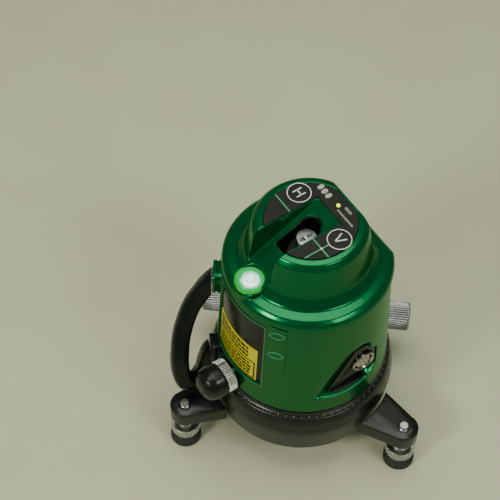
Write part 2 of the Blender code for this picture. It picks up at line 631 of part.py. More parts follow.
def make_power(turning, door_frame, catch_frame):
    draft = math.atan2(FLAT_LOW - FLAT_TOP, SEAM - BODY_LOW)
    low, high = 0.0981, 0.1599

    def face(height):
        """Y of the flat back's outer face at a height."""
        return FLAT_TOP + (SEAM - height) * math.tan(draft)

    door = [(face(low) - 0.0002, low), (face(high) - 0.0002, high), (face(high) - 0.0022, high),
            (face(low) - 0.0022, low)]
    to_door = tuple(-v for v in door_frame.location)
    add("battery_door", side_prism(door, 0.0249), "body_green", door_frame, to_door)
    grip_low, grip_high = 0.1005, 0.1075
    catch = [(face(grip_low) + 0.0001, grip_low), (face(grip_high) + 0.0001, grip_high),
             (face(grip_high) + 0.0016, grip_high - 0.001), (face(grip_low) + 0.0016, grip_low + 0.001)]
    to_catch = tuple(-v for v in catch_frame.location + door_frame.location)
    add("door_catch", side_prism(catch, 0.0070), "black_plastic", catch_frame, to_catch)
    tray = add("battery_tray", box((-0.0262, 0.0285, 0.0870), (0.0262, 0.0482, 0.1625)),
               "black_plastic", turning)
    boolean(tray, helper("tray_pocket", box((-0.0247, 0.0300, 0.0985), (0.0247, 0.06, 0.1595)),
                         turning))
    for number, x in enumerate((-0.0163, 0.0, 0.0163), 1):
        mid = 0.1290
        low_end, high_end = mid - BATTERY_LEN / 2, mid + BATTERY_LEN / 2
        cell = turned([(0, low_end), (BATTERY_R, low_end), (BATTERY_R, high_end - 0.0015),
                       (0.0028, high_end - 0.0015), (0.0028, high_end), (0, high_end)], 20)
        add(f"battery_{number}", cell, "battery_wrap", turning, (x, 0.0390, 0))
    board = box((-0.0465, -0.0280, 0.0930), (-0.0449, 0.0220, 0.1560))
    add("main_board", board, "board_green", turning)


# ---------------------------------------------------------------- pendulum

def make_pendulum(turning, gimbal_frame, pendulum_frame):
    chassis = add("pendulum_chassis", ring(0.0212, 0.0262, 0.1270, 0.1310, 24), "aluminium", turning)
    for side, name in ((1, "right"), (-1, "left")):
        outline = [(0.0245, 0.1275), (0.0290, 0.1275), (0.0290, 0.0885), (0.0290, 0.0855),
                   (0.0400, 0.0855), (0.0400, 0.0885), (0.0340, 0.0885), (0.0340, 0.1970),
                   (0.0290, 0.1970), (0.0290, 0.1305), (0.0245, 0.1305)]
        post = loft([[(side * x, y, z) for x, z in outline] for y in (-0.0060, 0.0060)])
        boolean(chassis, helper(f"post_{name}", post, turning), "UNION")
    bore = helper("pivot_bore", disc(0.0020, -0.05, 0.05, 12), turning, (0, 0, PIVOT_Z),
                  (0, math.pi / 2, 0))
    boolean(chassis, bore)

    gimbal = add("gimbal_ring", ring(0.0200, 0.0245, -0.0030, 0.0030, 24), "nickel", gimbal_frame)
    for side, name in ((1, "right"), (-1, "left")):
        low, high = sorted((side * 0.0235, side * 0.0325))
        pin = helper(f"gimbal_pin_{name}", disc(0.0016, low, high, 12), gimbal_frame, (0, 0, 0),
                     (0, math.pi / 2, 0))
        boolean(gimbal, pin, "UNION")
    cross = helper("cross_bore", disc(0.0020, -0.05, 0.05, 12), gimbal_frame, (0, 0, 0),
                   (math.pi / 2, 0, 0))
    boolean(gimbal, cross)

    down = -PIVOT_Z
    head = add("pendulum_head", disc(0.0150, -0.0070, 0.0040, 20), "aluminium", pendulum_frame)
    boolean(head, helper("module_clearance", disc(0.0085, -0.05, 0.05, 20), pendulum_frame,
                         (0, MODULE_Y, 0)))
    for side, name in ((1, "back"), (-1, "front")):
        low, high = sorted((side * 0.0140, side * 0.0215))
        pin = helper(f"pendulum_pin_{name}", disc(0.0016, low, high, 12), pendulum_frame, (0, 0, 0),
                     (math.pi / 2, 0, 0))
        boolean(head, pin, "UNION")
    stem = add("pendulum_block", disc(0.0150, 0.1420 + down, 0.1845 + down, 20), "aluminium",
               pendulum_frame)
    boolean(stem, helper("top_module_bore", disc(0.0084, 0.1520 + down, 0.19 + down, 20),
                         pendulum_frame, (0, MODULE_Y, 0)))
    boolean(stem, helper("front_module_bore", disc(0.0073, 0.0118, 0.03, 16), pendulum_frame,
                         (0, 0, 0.1630 + down), (math.pi / 2, 0, 0)))
    top_module = add("laser_module_top", disc(0.0080, 0.1705 + down, 0.2145 + down, 24), "nickel",
                     pendulum_frame, (0, MODULE_Y, 0))
    slot = helper("beam_slot", prism(rounded_box(0.0012, 0.0062, 0.0011, 3), 0.2115 + down, 0.23 + down),
                  pendulum_frame, (0, MODULE_Y, 0))
    boolean(top_module, slot)
    front_module = turned([(0, 0.0122), (0.0070, 0.0122), (0.0070, 0.0345), (0.0055, 0.0360),
                           (0.0055, 0.0345), (0, 0.0345)], 16)
    add("laser_module_front", front_module, "nickel", pendulum_frame, (0, 0, 0.1630 + down),
        (math.pi / 2, 0, 0))
    plumb = turned([(0, 0.1228 + down), (0.0050, 0.1228 + down), (0.0050, 0.1417 + down),
                    (0, 0.1417 + down)], 20)
    add("laser_module_plumb", plumb, "nickel", pendulum_frame)
    weight = turned([(0, 0.1050 + down), (0.0130, 0.1050 + down), (0.0140, 0.1060 + down), (0.0140, 0.1215 + down),
                     (0.0130, 0.1225 + down), (0, 0.1225 + down)], 20)
    add("pendulum_weight", weight, "brass", pendulum_frame)


def main():
    clear_scene()
    make_materials()
    base = frame("base_frame")
    make_base(base)
    wheel_frame = frame("wheel_frame", (0, 0, 0), 0, base)
    make_wheel(wheel_frame)
    turning = frame("turning_frame", (0, 0, 0), 0, wheel_frame)
    make_body_shell(turning)
    make_front(turning)
    make_cap(turning)
    h_frame = frame("h_button_frame", (-BUTTON_X, BUTTON_Y, TOP), 0, turning)
    v_frame = frame("v_button_frame", (BUTTON_X, BUTTON_Y, TOP), 0, turning)
    make_controls(turning, h_frame, v_frame)
    make_vial(turning)
    make_connector(turning)
    make_handle(turning)
    lock_frame = frame("lock_frame", (0, 0, LOCK_Z), 0, turning)
    plunger_frame = frame("plunger_frame", (0, 0, LOCK_Z), 0, turning)
    make_lock(turning, lock_frame, plunger_frame)
    door_frame = frame("door_frame", (0, 0.0524, 0.1599), 0, turning)
    catch_frame = frame("catch_frame", (0, 0.0015, -0.0559), 0, door_frame)
    make_power(turning, door_frame, catch_frame)
    gimbal_frame = frame("gimbal_frame", (0, 0, PIVOT_Z), 0, turning)
    pendulum_frame = frame("pendulum_frame", (0, 0, 0), 0, gimbal_frame)
    make_pendulum(turning, gimbal_frame, pendulum_frame)


main()
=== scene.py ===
"""Looks of a self-levelling laser level: fine surfaces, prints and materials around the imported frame.

Metres, +Z up, origin on the turning axis at the ground; the instrument's front faces -Y.
"""
import json
import math

import bmesh
import bpy
from mathutils import Matrix, Vector


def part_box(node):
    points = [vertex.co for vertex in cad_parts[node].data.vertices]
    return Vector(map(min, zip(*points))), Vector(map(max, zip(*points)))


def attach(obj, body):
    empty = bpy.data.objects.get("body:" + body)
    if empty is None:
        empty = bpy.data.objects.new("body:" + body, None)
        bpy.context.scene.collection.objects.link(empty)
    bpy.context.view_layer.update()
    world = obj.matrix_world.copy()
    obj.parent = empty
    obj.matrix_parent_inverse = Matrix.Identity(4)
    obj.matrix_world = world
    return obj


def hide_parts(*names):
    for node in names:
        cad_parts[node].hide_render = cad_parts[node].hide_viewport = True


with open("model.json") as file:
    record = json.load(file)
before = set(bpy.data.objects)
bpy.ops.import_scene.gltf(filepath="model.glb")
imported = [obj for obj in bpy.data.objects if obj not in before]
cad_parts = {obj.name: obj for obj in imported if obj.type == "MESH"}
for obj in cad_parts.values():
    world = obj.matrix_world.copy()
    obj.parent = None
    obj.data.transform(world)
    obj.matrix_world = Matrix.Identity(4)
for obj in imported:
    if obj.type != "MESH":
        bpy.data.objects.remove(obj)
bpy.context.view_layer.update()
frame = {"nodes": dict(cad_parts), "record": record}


# ---------------------------------------------------------------- measures

def centre(node_name):
    low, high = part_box(node_name)
    return (low + high) / 2


def half_width(node_name):
    low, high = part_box(node_name)
    return (high.x - low.x) / 2


# Casing: a drum that tapers upwards, with a flat back
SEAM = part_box("top_cap")[0].z
BODY_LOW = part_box("body_shell")[0].z
BODY_R_LOW = -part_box("body_shell")[0].y
BODY_R_TOP = BODY_R_LOW - 0.0045  # radius at the seam with the cap
FLAT_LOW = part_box("body_shell")[1].y
FLAT_TOP = FLAT_LOW - 0.0035
FLAT_LEAN = math.atan2(FLAT_LOW - FLAT_TOP, SEAM - BODY_LOW)
BACK_CORNER = 0.0040             # rounding between the round side and the flat back
INSIDE = 0.82                    # the casing's inner face, as a share of its outer one

# Front panel: a shallow recess
FRONT = math.radians(-90)
PANEL_HALF = math.radians(26)
RECESS_LOW = 0.1040
RECESS_HIGH = 0.1775

# Connector scoop: a flat cut at the right whose left edge slants from its top to its foot
SCOOP_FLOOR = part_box("connector_bezel")[0].x - 0.0003
SCOOP_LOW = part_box("connector_bezel")[0].z - 0.0005
SCOOP_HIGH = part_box("connector_bezel")[1].z + 0.0005
SCOOP_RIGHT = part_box("connector_bezel")[1].y + 0.0005
SCOOP_TOP = Vector((0.0020, SCOOP_HIGH - 0.0020))
SCOOP_FOOT = Vector((-0.0210, SCOOP_LOW))
SOCKET = centre("connector_shell")

# Top of the cap: a horseshoe deck round the sloping channel that lets the beams out
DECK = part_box("key_overlay")[1].z
DECK_R = 0.0322
DECK_FLAT = 0.0300               # how far back its straight edge lies
INK_LOW = DECK - 0.0001          # print on the deck's film starts just inside the film
INK_HIGH = DECK + 0.00006
CHANNEL_HALF = 0.013
CHANNEL_BACK = 0.0147
RAMP_SLOPE = 0.4843              # fall of the channel's floor towards the front
ABOVE = DECK + 0.02              # where cuts end that are open at the top
KEYS = {"H": centre("h_line_button"), "V": centre("v_line_button")}
KEY_R = half_width("h_line_button")
LED = centre("status_led")
VIAL = centre("bullseye_vial")
VIAL_R = half_width("bullseye_vial")

# Knobs, handle and base
LOCK_Z = centre("lock_knob_ring").z
RING_FAR = 0.0738                # reach of the lock knob's knurled ring, where its dome begins
WORM = centre("worm_shaft")
WORM_TURN = math.radians(49.6)   # the way the worm shaft points, round the turning axis
UPPER_TRIM = 0.0684              # the handle's ends stop at these reaches, against their lugs
LOWER_TRIM = 0.0718
HOUSING_R = 0.0707


# ---------------------------------------------------------------- shader helpers

def node(tree, kind, **values):
    """A shader node; values name its attributes, or its inputs with spaces written as _."""
    made = tree.nodes.new(kind)
    for key, value in values.items():
        if hasattr(made, key):
            setattr(made, key, value)
        else:
            made.inputs[key.replace("_", " ")].default_value = value
    return made


def start_material(name, roughness=0.4, metallic=0.0, **inputs):
    """A new material, with its node tree, its shader and the object's own coordinates."""
    material = bpy.data.materials.new(name)
    material.use_nodes = True
    tree = material.node_tree
    shader = tree.nodes["Principled BSDF"]
    shader.inputs["Roughness"].default_value = roughness
    shader.inputs["Metallic"].default_value = metallic
    for key, value in inputs.items():
        shader.inputs[key.replace("_", " ")].default_value = value
    place = tree.nodes.new("ShaderNodeTexCoord")
    return material, tree, shader, place.outputs["Object"]


def noise(tree, place, scale, detail=3.0, stretch=None):
    """Noise from 0 to 1; stretch makes it finer along an axis."""
    made = node(tree, "ShaderNodeTexNoise", Scale=scale, Detail=detail)
    if stretch:
        mapping = node(tree, "ShaderNodeMapping")
        mapping.inputs["Scale"].default_value = stretch
        tree.links.new(place, mapping.inputs["Vector"])
        place = mapping.outputs["Vector"]
    tree.links.new(place, made.inputs["Vector"])
    return made.outputs["Fac"]


def spread(tree, value, low, high, from_low=0.3, from_high=0.7):
    """Maps a value's usual range to the range from low to high."""
    made = node(tree, "ShaderNodeMapRange", From_Min=from_low, From_Max=from_high, To_Min=low, To_Max=high)
    tree.links.new(value, made.inputs["Value"])
    return made.outputs["Result"]


def tint(tree, value, colours):
    """A colour ramp from (position, colour) pairs."""
    made = node(tree, "ShaderNodeValToRGB")
    ramp = made.color_ramp
    while len(ramp.elements) < len(colours):
        ramp.elements.new(0.5)
    for element, (position, colour) in zip(ramp.elements, colours):
        element.position = position
        element.color = (*colour, 1.0)
    tree.links.new(value, made.inputs["Fac"])
    return made.outputs["Color"]


def relief(tree, shader, height, strength, distance):
    """Bumps the surface by a height."""
    made = node(tree, "ShaderNodeBump", Strength=strength, Distance=distance)
    tree.links.new(height, made.inputs["Height"])
    tree.links.new(made.outputs["Normal"], shader.inputs["Normal"])


def shade(name, dark, light, roughness=(0.3, 0.45), scale=60.0, grain=900.0, grain_depth=0.00004,
          metallic=0.0, stretch=None, **inputs):
    """A surface whose colour and roughness drift gently, under a fine grain."""
    material, tree, shader, place = start_material(name, metallic=metallic, **inputs)
    drift = noise(tree, place, scale, 4.0, stretch)
    tree.links.new(tint(tree, drift, ((0.3, dark), (0.7, light))), shader.inputs["Base Color"])
    wear = noise(tree, place, scale * 3.1, 5.0, stretch)
    tree.links.new(spread(tree, wear, *roughness), shader.inputs["Roughness"])
    relief(tree, shader, noise(tree, place, grain, 2.0, stretch), 0.5, grain_depth)
    return material


def lacquer():
    """Candy lacquer: deep green with fine metal flakes under a clear coat."""
    material, tree, shader, place = start_material(
        "green_lacquer", metallic=0.60, Coat_Weight=0.16, Coat_Roughness=0.03,
        Specular_Tint=(0.02, 0.65, 0.25, 1.0))
    flakes = node(tree, "ShaderNodeTexVoronoi", Scale=3400.0)
    tree.links.new(place, flakes.inputs["Vector"])
    drift = noise(tree, place, 22.0, 3.0)
    blend = node(tree, "ShaderNodeMix", data_type="RGBA")
    base = tint(tree, drift, ((0.3, (0.0, 0.078, 0.022)), (0.7, (0.0, 0.100, 0.029))))
    spark = tint(tree, flakes.outputs["Distance"], ((0.1, (0.0, 0.36, 0.12)), (0.6, (0.0, 0.08, 0.022))))
    blend.inputs[0].default_value = 0.3
    tree.links.new(base, blend.inputs[6])
    tree.links.new(spark, blend.inputs[7])
    tree.links.new(blend.outputs[2], shader.inputs["Base Color"])
    tree.links.new(spread(tree, noise(tree, place, 90.0, 4.0), 0.19, 0.27), shader.inputs["Roughness"])
    relief(tree, shader, flakes.outputs["Distance"], 0.08, 0.0001)
    return material


def turned_metal(name, dark, light, roughness):
    """Metal turned about a vertical axis: fine concentric marks."""
    material, tree, shader, place = start_material(name, metallic=1.0)
    rings = node(tree, "ShaderNodeTexWave", wave_type="RINGS", rings_direction="Z", Scale=900.0,
                 Distortion=1.2, Detail=2.0)
    tree.links.new(place, rings.inputs["Vector"])
    drift = noise(tree, place, 70.0, 4.0)
    tree.links.new(tint(tree, drift, ((0.3, dark), (0.7, light))), shader.inputs["Base Color"])
    tree.links.new(spread(tree, rings.outputs["Fac"], *roughness, 0.0, 1.0), shader.inputs["Roughness"])
    relief(tree, shader, rings.outputs["Fac"], 0.15, 0.00003)
    return material


def glow(name, core, middle, rim, reach, strength, around):
    """A lens lit by its own emission: bright core that falls through a tint to its rim; a real lamp on the
    status LED, painted glow on the vial and its collar.
    """
    material, tree, shader, place = start_material(name, roughness=0.08, Coat_Weight=0.6)
    apart = node(tree, "ShaderNodeVectorMath", operation="DISTANCE")
    tree.links.new(place, apart.inputs[0])
    apart.inputs[1].default_value = around
    near = spread(tree, apart.outputs["Value"], 0.0, 1.0, 0.0, reach)
    mottled = node(tree, "ShaderNodeMath", operation="MULTIPLY")
    tree.links.new(near, mottled.inputs[0])
    tree.links.new(spread(tree, noise(tree, place, 300.0), 0.92, 1.08), mottled.inputs[1])
    colour = tint(tree, mottled.outputs[0], ((0.0, core), (0.36, core), (0.62, middle), (1.0, rim)))
    shader.inputs["Base Color"].default_value = (*(0.1 * c for c in rim), 1.0)
    tree.links.new(colour, shader.inputs["Emission Color"])
    shader.inputs["Emission Strength"].default_value = strength
    return material


look = {
    "green": lacquer(),
    # green print on the deck; the same green on the grip's raised loops is a painted highlight
    "green_print_and_ridge_highlight": shade("green_print_and_ridge_highlight", (0.03, 0.30, 0.13), (0.05, 0.38, 0.18), (0.35, 0.45)),
    # painted highlight: the body's green made lighter for the raised frame
    "frame": shade("frame_green_painted_highlight", (0.0, 0.11, 0.040), (0.002, 0.15, 0.055), (0.22, 0.32)),
    "black": shade("black_moulding", (0.004, 0.0055, 0.005), (0.008, 0.010, 0.009), (0.22, 0.32), 45.0,
                   1400.0, 0.00005, Specular_IOR_Level=0.35),
    "handle": shade("handle_moulding", (0.003, 0.006, 0.004), (0.006, 0.010, 0.007), (0.24, 0.36), 60.0,
                    1800.0, 0.00003, Specular_IOR_Level=0.18),
    "film": shade("key_film", (0.011, 0.012, 0.010), (0.018, 0.019, 0.016), (0.42, 0.52), 90.0, 2200.0,
                  0.00004, Specular_IOR_Level=0.2),
    "window": shade("window_glass", (0.005, 0.006, 0.005), (0.013, 0.015, 0.012), (0.14, 0.24), 70.0,
                    500.0, 0.00004, Specular_IOR_Level=0.12),
    "print_white": shade("print_white", (0.60, 0.61, 0.58), (0.70, 0.71, 0.68), (0.4, 0.5), 120.0),
    "print_grey": shade("print_grey", (0.34, 0.34, 0.30), (0.44, 0.44, 0.40), (0.45, 0.55), 120.0),
    "faded": shade("print_faded", (0.16, 0.16, 0.14), (0.24, 0.24, 0.21), (0.45, 0.55), 120.0),
    "ink": shade("label_ink", (0.004, 0.004, 0.005), (0.010, 0.010, 0.012), (0.55, 0.7), 150.0,
                 Specular_IOR_Level=0.15),
    "yellow": shade("label_yellow", (0.62, 0.55, 0.0), (0.76, 0.68, 0.0), (0.35, 0.5), 110.0, 1500.0,
                    0.00002),
    "silver": turned_metal("satin_silver", (0.40, 0.41, 0.39), (0.55, 0.55, 0.52), (0.26, 0.38)),
    "knob": shade("blasted_grey", (0.30, 0.315, 0.31), (0.42, 0.435, 0.425), (0.34, 0.48), 140.0, 2600.0,
                  0.00006, metallic=0.75),
    "nickel": turned_metal("nickel_plate", (0.34, 0.33, 0.30), (0.48, 0.46, 0.42), (0.10, 0.20)),
    "steel": turned_metal("module_steel", (0.42, 0.45, 0.44), (0.62, 0.65, 0.63), (0.22, 0.34)),
    "brass": turned_metal("turned_brass", (0.52, 0.34, 0.12), (0.70, 0.49, 0.20), (0.2, 0.32)),
    "aluminium": shade("machined_aluminium", (0.48, 0.49, 0.50), (0.62, 0.63, 0.64), (0.3, 0.45), 80.0,
                       1400.0, 0.00004, metallic=1.0, stretch=(1.0, 1.0, 14.0)),
    "cream": shade("contact_insert", (0.46, 0.40, 0.27), (0.60, 0.53, 0.37), (0.4, 0.55), 200.0),
    # painted shade: near black for the depth of holes and gaps
    "dark": shade("hole_painted_shade", (0.002, 0.002, 0.002), (0.006, 0.006, 0.006), (0.5, 0.7), 200.0),
    # painted shade for the inside of the beam's opening
    "opening_shade": shade("opening_shade_black", (0.004, 0.006, 0.005), (0.010, 0.014, 0.011), (0.45, 0.6), 160.0),
    "rubber": shade("foot_rubber", (0.012, 0.012, 0.012), (0.024, 0.024, 0.023), (0.6, 0.78), 90.0, 1600.0,
                    0.0001),
    "board": shade("circuit_board", (0.008, 0.09, 0.03), (0.02, 0.17, 0.06), (0.35, 0.5), 300.0),
    "cell": shade("cell_wrap", (0.03, 0.035, 0.05), (0.07, 0.075, 0.095), (0.25, 0.35), 120.0),
    # painted glow: the collar is no lamp; its green emission, brightest near the vial, stands for light from
    # the vial
    "collar": glow("vial_collar", (0.0, 0.30, 0.02), (0.0, 0.24, 0.015), (0.0, 0.18, 0.01), 0.016, 2.0,
                   tuple(VIAL)),
    # painted glow: the vial is no lamp; its emission, and the bright core set off its middle, are painted
    # light and a painted highlight in the lens
    "vial": glow("vial_painted_glow", (0.75, 1.0, 0.88), (0.0, 0.30, 0.07), (0.0, 0.12, 0.004), VIAL_R * 1.2, 2.4,
                 (VIAL.x + 0.0012, VIAL.y - 0.0008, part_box("bullseye_vial")[1].z)),
    "led": glow("led_glow", (1.0, 0.92, 0.05), (0.95, 0.90, 0.0), (0.8, 0.85, 0.0), 0.0024, 2.4, tuple(LED)),
}
SLOT_LOOK = {  # what the CAD nodes of each material slot wear where they still show
    # the vial's glass and its collar wear painted glow
    "body_green": "green", "black_plastic": "black", "key_film": "film", "key_print": "print_white",
    "led_lime": "led", "vial_glass": "vial", "vial_collar": "collar", "window_glass": "window",
    "label_yellow": "yellow", "satin_silver": "silver", "knob_grey": "knob", "nickel": "steel",
    "brass": "brass", "insert_cream": "cream", "aluminium": "aluminium", "board_green": "board",
    "battery_wrap": "cell", "rubber": "rubber",
}


# ---------------------------------------------------------------- shape helpers

def smoothstep(low, high, value):
    """0 at low, 1 at high and an eased slope between; low may be the larger."""
    t = min(1.0, max(0.0, (value - low) / (high - low)))
    return t * t * (3 - 2 * t)


def arc(radius, start, end, steps, middle=(0.0, 0.0)):
    """Points along an arc, both ends included."""
    turns = [start + (end - start) * k / steps for k in range(steps + 1)]
    return [(middle[0] + radius * math.cos(a), middle[1] + radius * math.sin(a)) for a in turns]


def soften(points, steps=5, closed=True):
    """Rounds an outline's corners; each point is its coordinates and then a rounding radius."""
    softened = []
    for k, (*place, radius) in enumerate(points):
        corner = Vector(place)
        if radius == 0 or (not closed and k in (0, len(points) - 1)):
            softened.append(corner)
            continue
        before = Vector(points[k - 1][:-1]) - corner
        after = Vector(points[(k + 1) % len(points)][:-1]) - corner
        reach = radius / math.tan(before.angle(after) / 2)
        reach = min(reach, before.length * 0.49, after.length * 0.49)
        first = corner + before.normalized() * reach
        last = corner + after.normalized() * reach
        for n in range(steps + 1):
            t = n / steps
            softened.append(first * (1 - t) ** 2 + corner * (2 * t * (1 - t)) + last * t ** 2)
    return softened


def resmooth(thing, degrees):
    """Shades an object smooth, with its edges sharp above an angle."""
    thing.data.shade_smooth()
    thing.data.set_sharp_from_angle(angle=math.radians(degrees))
    return thing


def add(name, mesh, smooth=40):
    """Puts a mesh into the scene as an object."""
    made = bpy.data.objects.new(name, mesh)
    bpy.context.scene.collection.objects.link(made)
    return resmooth(made, smooth)


def make(name, vertices, faces, smooth=40):
    """An object from points and faces; points that fall together are merged."""
    mesh = bpy.data.meshes.new(name)
    mesh.from_pydata([tuple(v) for v in vertices], [], faces)
    bm = bmesh.new()
    bm.from_mesh(mesh)
    bmesh.ops.remove_doubles(bm, verts=bm.verts, dist=1e-7)
    bmesh.ops.recalc_face_normals(bm, faces=bm.faces)
    bm.to_mesh(mesh)
    bm.free()
    return add(name, mesh, smooth)


def loft(name, rings, place=Matrix.Identity(4), looped=False, smooth=40):
    """A closed solid through rings of equal length, capped at both ends unless looped."""
    count = len(rings[0])
    vertices = [place @ Vector(point) for ring in rings for point in ring]
    faces = []
    last = len(rings) if looped else len(rings) - 1
    for r in range(last):
        low, high = r * count, (r + 1) % len(rings) * count
        for k in range(count):
            j = (k + 1) % count
            faces.append((low + k, low + j, high + j, high + k))
    if not looped:
        faces.append(tuple(range(count)))
        faces.append(tuple(range(len(vertices) - count, len(vertices))))
    return make(name, vertices, faces, smooth)


def revolve(name, profile, steps, place=Matrix.Identity(4), wave=None, smooth=40):
    """A solid of revolution about Z from (radius, height) points; wave(angle, r, z) reshapes r."""
    hollow = min(point[0] for point in profile) > 0
    rings = []
    for radius, height in profile:
        ring = []
        for k in range(steps):
            a = math.tau * k / steps
            r = wave(a, radius, height) if wave and radius > 0 else radius
            ring.append((r * math.cos(a), r * math.sin(a), height))
        rings.append(ring)
    return loft(name, rings, place, hollow, smooth)


def turned(name, points, steps, place=Matrix.Identity(4), ease=4, wave=None, smooth=40):
    """A turned solid from (radius, height, rounding) points; hollow when none is on the axis."""
    hollow = min(point[0] for point in points) > 0
    return revolve(name, soften(points, ease, hollow), steps, place, wave, smooth)


def drum(name, radius, low, high, steps, place=Matrix.Identity(4), bore=0.0):
    """A plain cylinder, or a ring when it has a bore."""
    return revolve(name, [(bore, low), (radius, low), (radius, high), (bore, high)], steps, place)


def slab(name, outline, low, high, axis="z", place=Matrix.Identity(4)):
    """A straight solid between two places along an axis, from an outline in the other two."""
    spot = "xyz".index(axis)
    rings = [[(*point[:spot], along, *point[spot:]) for point in outline] for along in (low, high)]
    return loft(name, rings, place)


def prism(name, outline, low, high, edge, place=Matrix.Identity(4), smooth=40, steps=3):
    """A plate from an outline, with rounded upper and lower edges."""
    middle = sum((Vector(p) for p in outline), Vector((0, 0))) / len(outline)
    size = max((Vector(p) - middle).length for p in outline)

    def inset(amount):
        scale = 1 - amount / size
        return [middle + (Vector(p) - middle) * scale for p in outline]

    turns = [math.pi / 2 * k / steps for k in range(steps + 1)]
    bottom = [[(*p, low + edge * (1 - math.sin(a))) for p in inset(edge * (1 - math.cos(a)))]
              for a in reversed(turns)]
    top = [[(*p, high - edge * (1 - math.sin(a))) for p in inset(edge * (1 - math.cos(a)))]
           for a in turns]
    return loft(name, bottom + top, place, False, smooth)


def rounded_box(half_x, half_y, radius, steps=6, middle=(0.0, 0.0)):
    """A rectangle's outline with round corners."""
    points = []
    for quarter, (sx, sy) in enumerate(((1, 1), (-1, 1), (-1, -1), (1, -1))):
        corner = (middle[0] + sx * (half_x - radius), middle[1] + sy * (half_y - radius))
        points += arc(radius, quarter * math.pi / 2, (quarter + 1) * math.pi / 2, steps, corner)
    return points


def join(name, parts):
    """Joins several made objects' meshes into one object."""
    bm = bmesh.new()
    for part in parts:
        bm.from_mesh(part.data)
        bpy.data.objects.remove(part)
    mesh = bpy.data.meshes.new(name)
    bm.to_mesh(mesh)
    bm.free()
    return add(name, mesh)


def bake(target):
    """Replaces an object's mesh by what its modifiers make of it."""
    graph = bpy.context.evaluated_depsgraph_get()
    mesh = bpy.data.meshes.new_from_object(target.evaluated_get(graph))
    target.modifiers.clear()
    target.data = mesh
    return target


def boolean(target, tool, operation="DIFFERENCE"):
    """Cuts a tool from an object, or joins it on; the tool is used up."""
    modifier = target.modifiers.new("shape", "BOOLEAN")
    modifier.operation = operation
    modifier.solver = "EXACT"
    modifier.object = tool
    bake(target)
    bpy.data.objects.remove(tool)


def bevel(target, width, segments):
    """Rounds an object's sharp edges."""
    modifier = target.modifiers.new("edge", "BEVEL")
    modifier.width = width
    modifier.segments = segments
    modifier.angle_limit = math.radians(50)
    resmooth(bake(target), 50)


def finish(piece, body, material, slot, *replaced):
    """Gives a piece its look, hangs it under its body's empty and hides the nodes it stands for; slot is not
    used.
    """
    piece.data.materials.clear()
    piece.data.materials.append(look[material])
    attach(piece, body)
    if replaced:
        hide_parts(*replaced)


def body_radius(z):
    """The casing's radius at a height."""
    return BODY_R_LOW + (BODY_R_TOP - BODY_R_LOW) * (z - BODY_LOW) / (SEAM - BODY_LOW)


def body_flat(z):
    """How far back the casing's flat lies at a height."""
    return FLAT_LOW + (FLAT_TOP - FLAT_LOW) * (z - BODY_LOW) / (SEAM - BODY_LOW)


def on_body(turn, z, out=0.0):
    """A point on the tapered body, or a little outside it."""
    reach = body_radius(z) + out
    return Vector((reach * math.cos(turn), reach * math.sin(turn), z))


def at(x, y, z=0.0):
    return Matrix.Translation((x, y, z))


def forward_at(z):
    """Places a shape made along +Z so that it points along -Y."""
    return at(0, 0, z) @ Matrix.Rotation(math.pi / 2, 4, "X")


def along_socket():
    """Places a shape made along +Z so that it points out of the connector's scoop, along +X."""
    swing = Matrix.Rotation(math.pi / 2, 4, "Z") @ Matrix.Rotation(math.pi / 2, 4, "X")
    return at(0, SOCKET.y, SOCKET.z) @ swing


def along_worm(side):
    """Places a shape made along +Z so that it points out along one side of the worm shaft."""
    swing = Matrix.Rotation(WORM_TURN, 4, "Z") @ Matrix.Rotation(math.pi / 2, 4, "Y")
    flip = Matrix.Rotation(0 if side > 0 else math.pi, 4, "X")
    return Matrix.Translation(WORM) @ swing @ flip


# ---------------------------------------------------------------- cap

CAP_PROFILE = [  # radius, flat, height above the seam, rounding
    (0.0600, 0.0515, 0.0000, 0.0), (0.0610, 0.0525, 0.0000, 0.0005), (0.0610, 0.0525, 0.0022, 0.0018),
    (0.0602, 0.0518, 0.0054, 0.0050), (0.0568, 0.0489, 0.0082, 0.0060),
    (0.0500, 0.0430, 0.0096, 0.0060),
    (0.0448, 0.0366, 0.0165, 0.0090), (0.0437, 0.0350, 0.0220, 0.0050),
    (0.0417, 0.0339, 0.0350, 0.0120), (0.0404, 0.0333, 0.0425, 0.0030), (0.0372, 0.0326, 0.0462, 0.0025),
    (0.0330, 0.0320, 0.0470, 0.0),
]


def corner_of(radius, flat, corner):
    """Where a circle is rounded into its flat at +Y: the rounding's centre x and first angle."""
    x = math.sqrt((radius - corner) ** 2 - (flat - corner) ** 2)
    return x, math.atan2(flat - corner, x)


def d_ring(radius, flat, z):
    """A circle cut by a flat at +Y, with rounded corners."""
    corner = min(0.0045, (radius - flat) * 0.9)
    cx, turn = corner_of(radius, flat, corner)
    right = arc(corner, turn, math.pi / 2, 5, (cx, flat - corner))
    left = arc(corner, math.pi / 2, math.pi - turn, 5, (-cx, flat - corner))
    back = [(cx - 2 * cx * k / 8, flat) for k in range(1, 8)]
    front = arc(radius, math.pi - turn, math.tau + turn, 132)[1:-1]
    return [(x, y, z) for x, y in right + back + left + front]


def ramp_height(y):
    """The height of the channel's sloping floor."""
    return DECK - 0.0006 - RAMP_SLOPE * (CHANNEL_BACK - y)


def hole_outline(grow):
    """The beam's opening in the channel floor: round at the back, square in front."""
    side, front, corner = 0.0073, -0.0218, 0.0012 + grow
    outline = arc(0.0085 + grow, math.pi, 0, 20, (0, -0.0005))
    outline += arc(corner, 0, -math.pi / 2, 4, (side, front))
    return outline + arc(corner, -math.pi / 2, -math.pi, 4, (-side, front))


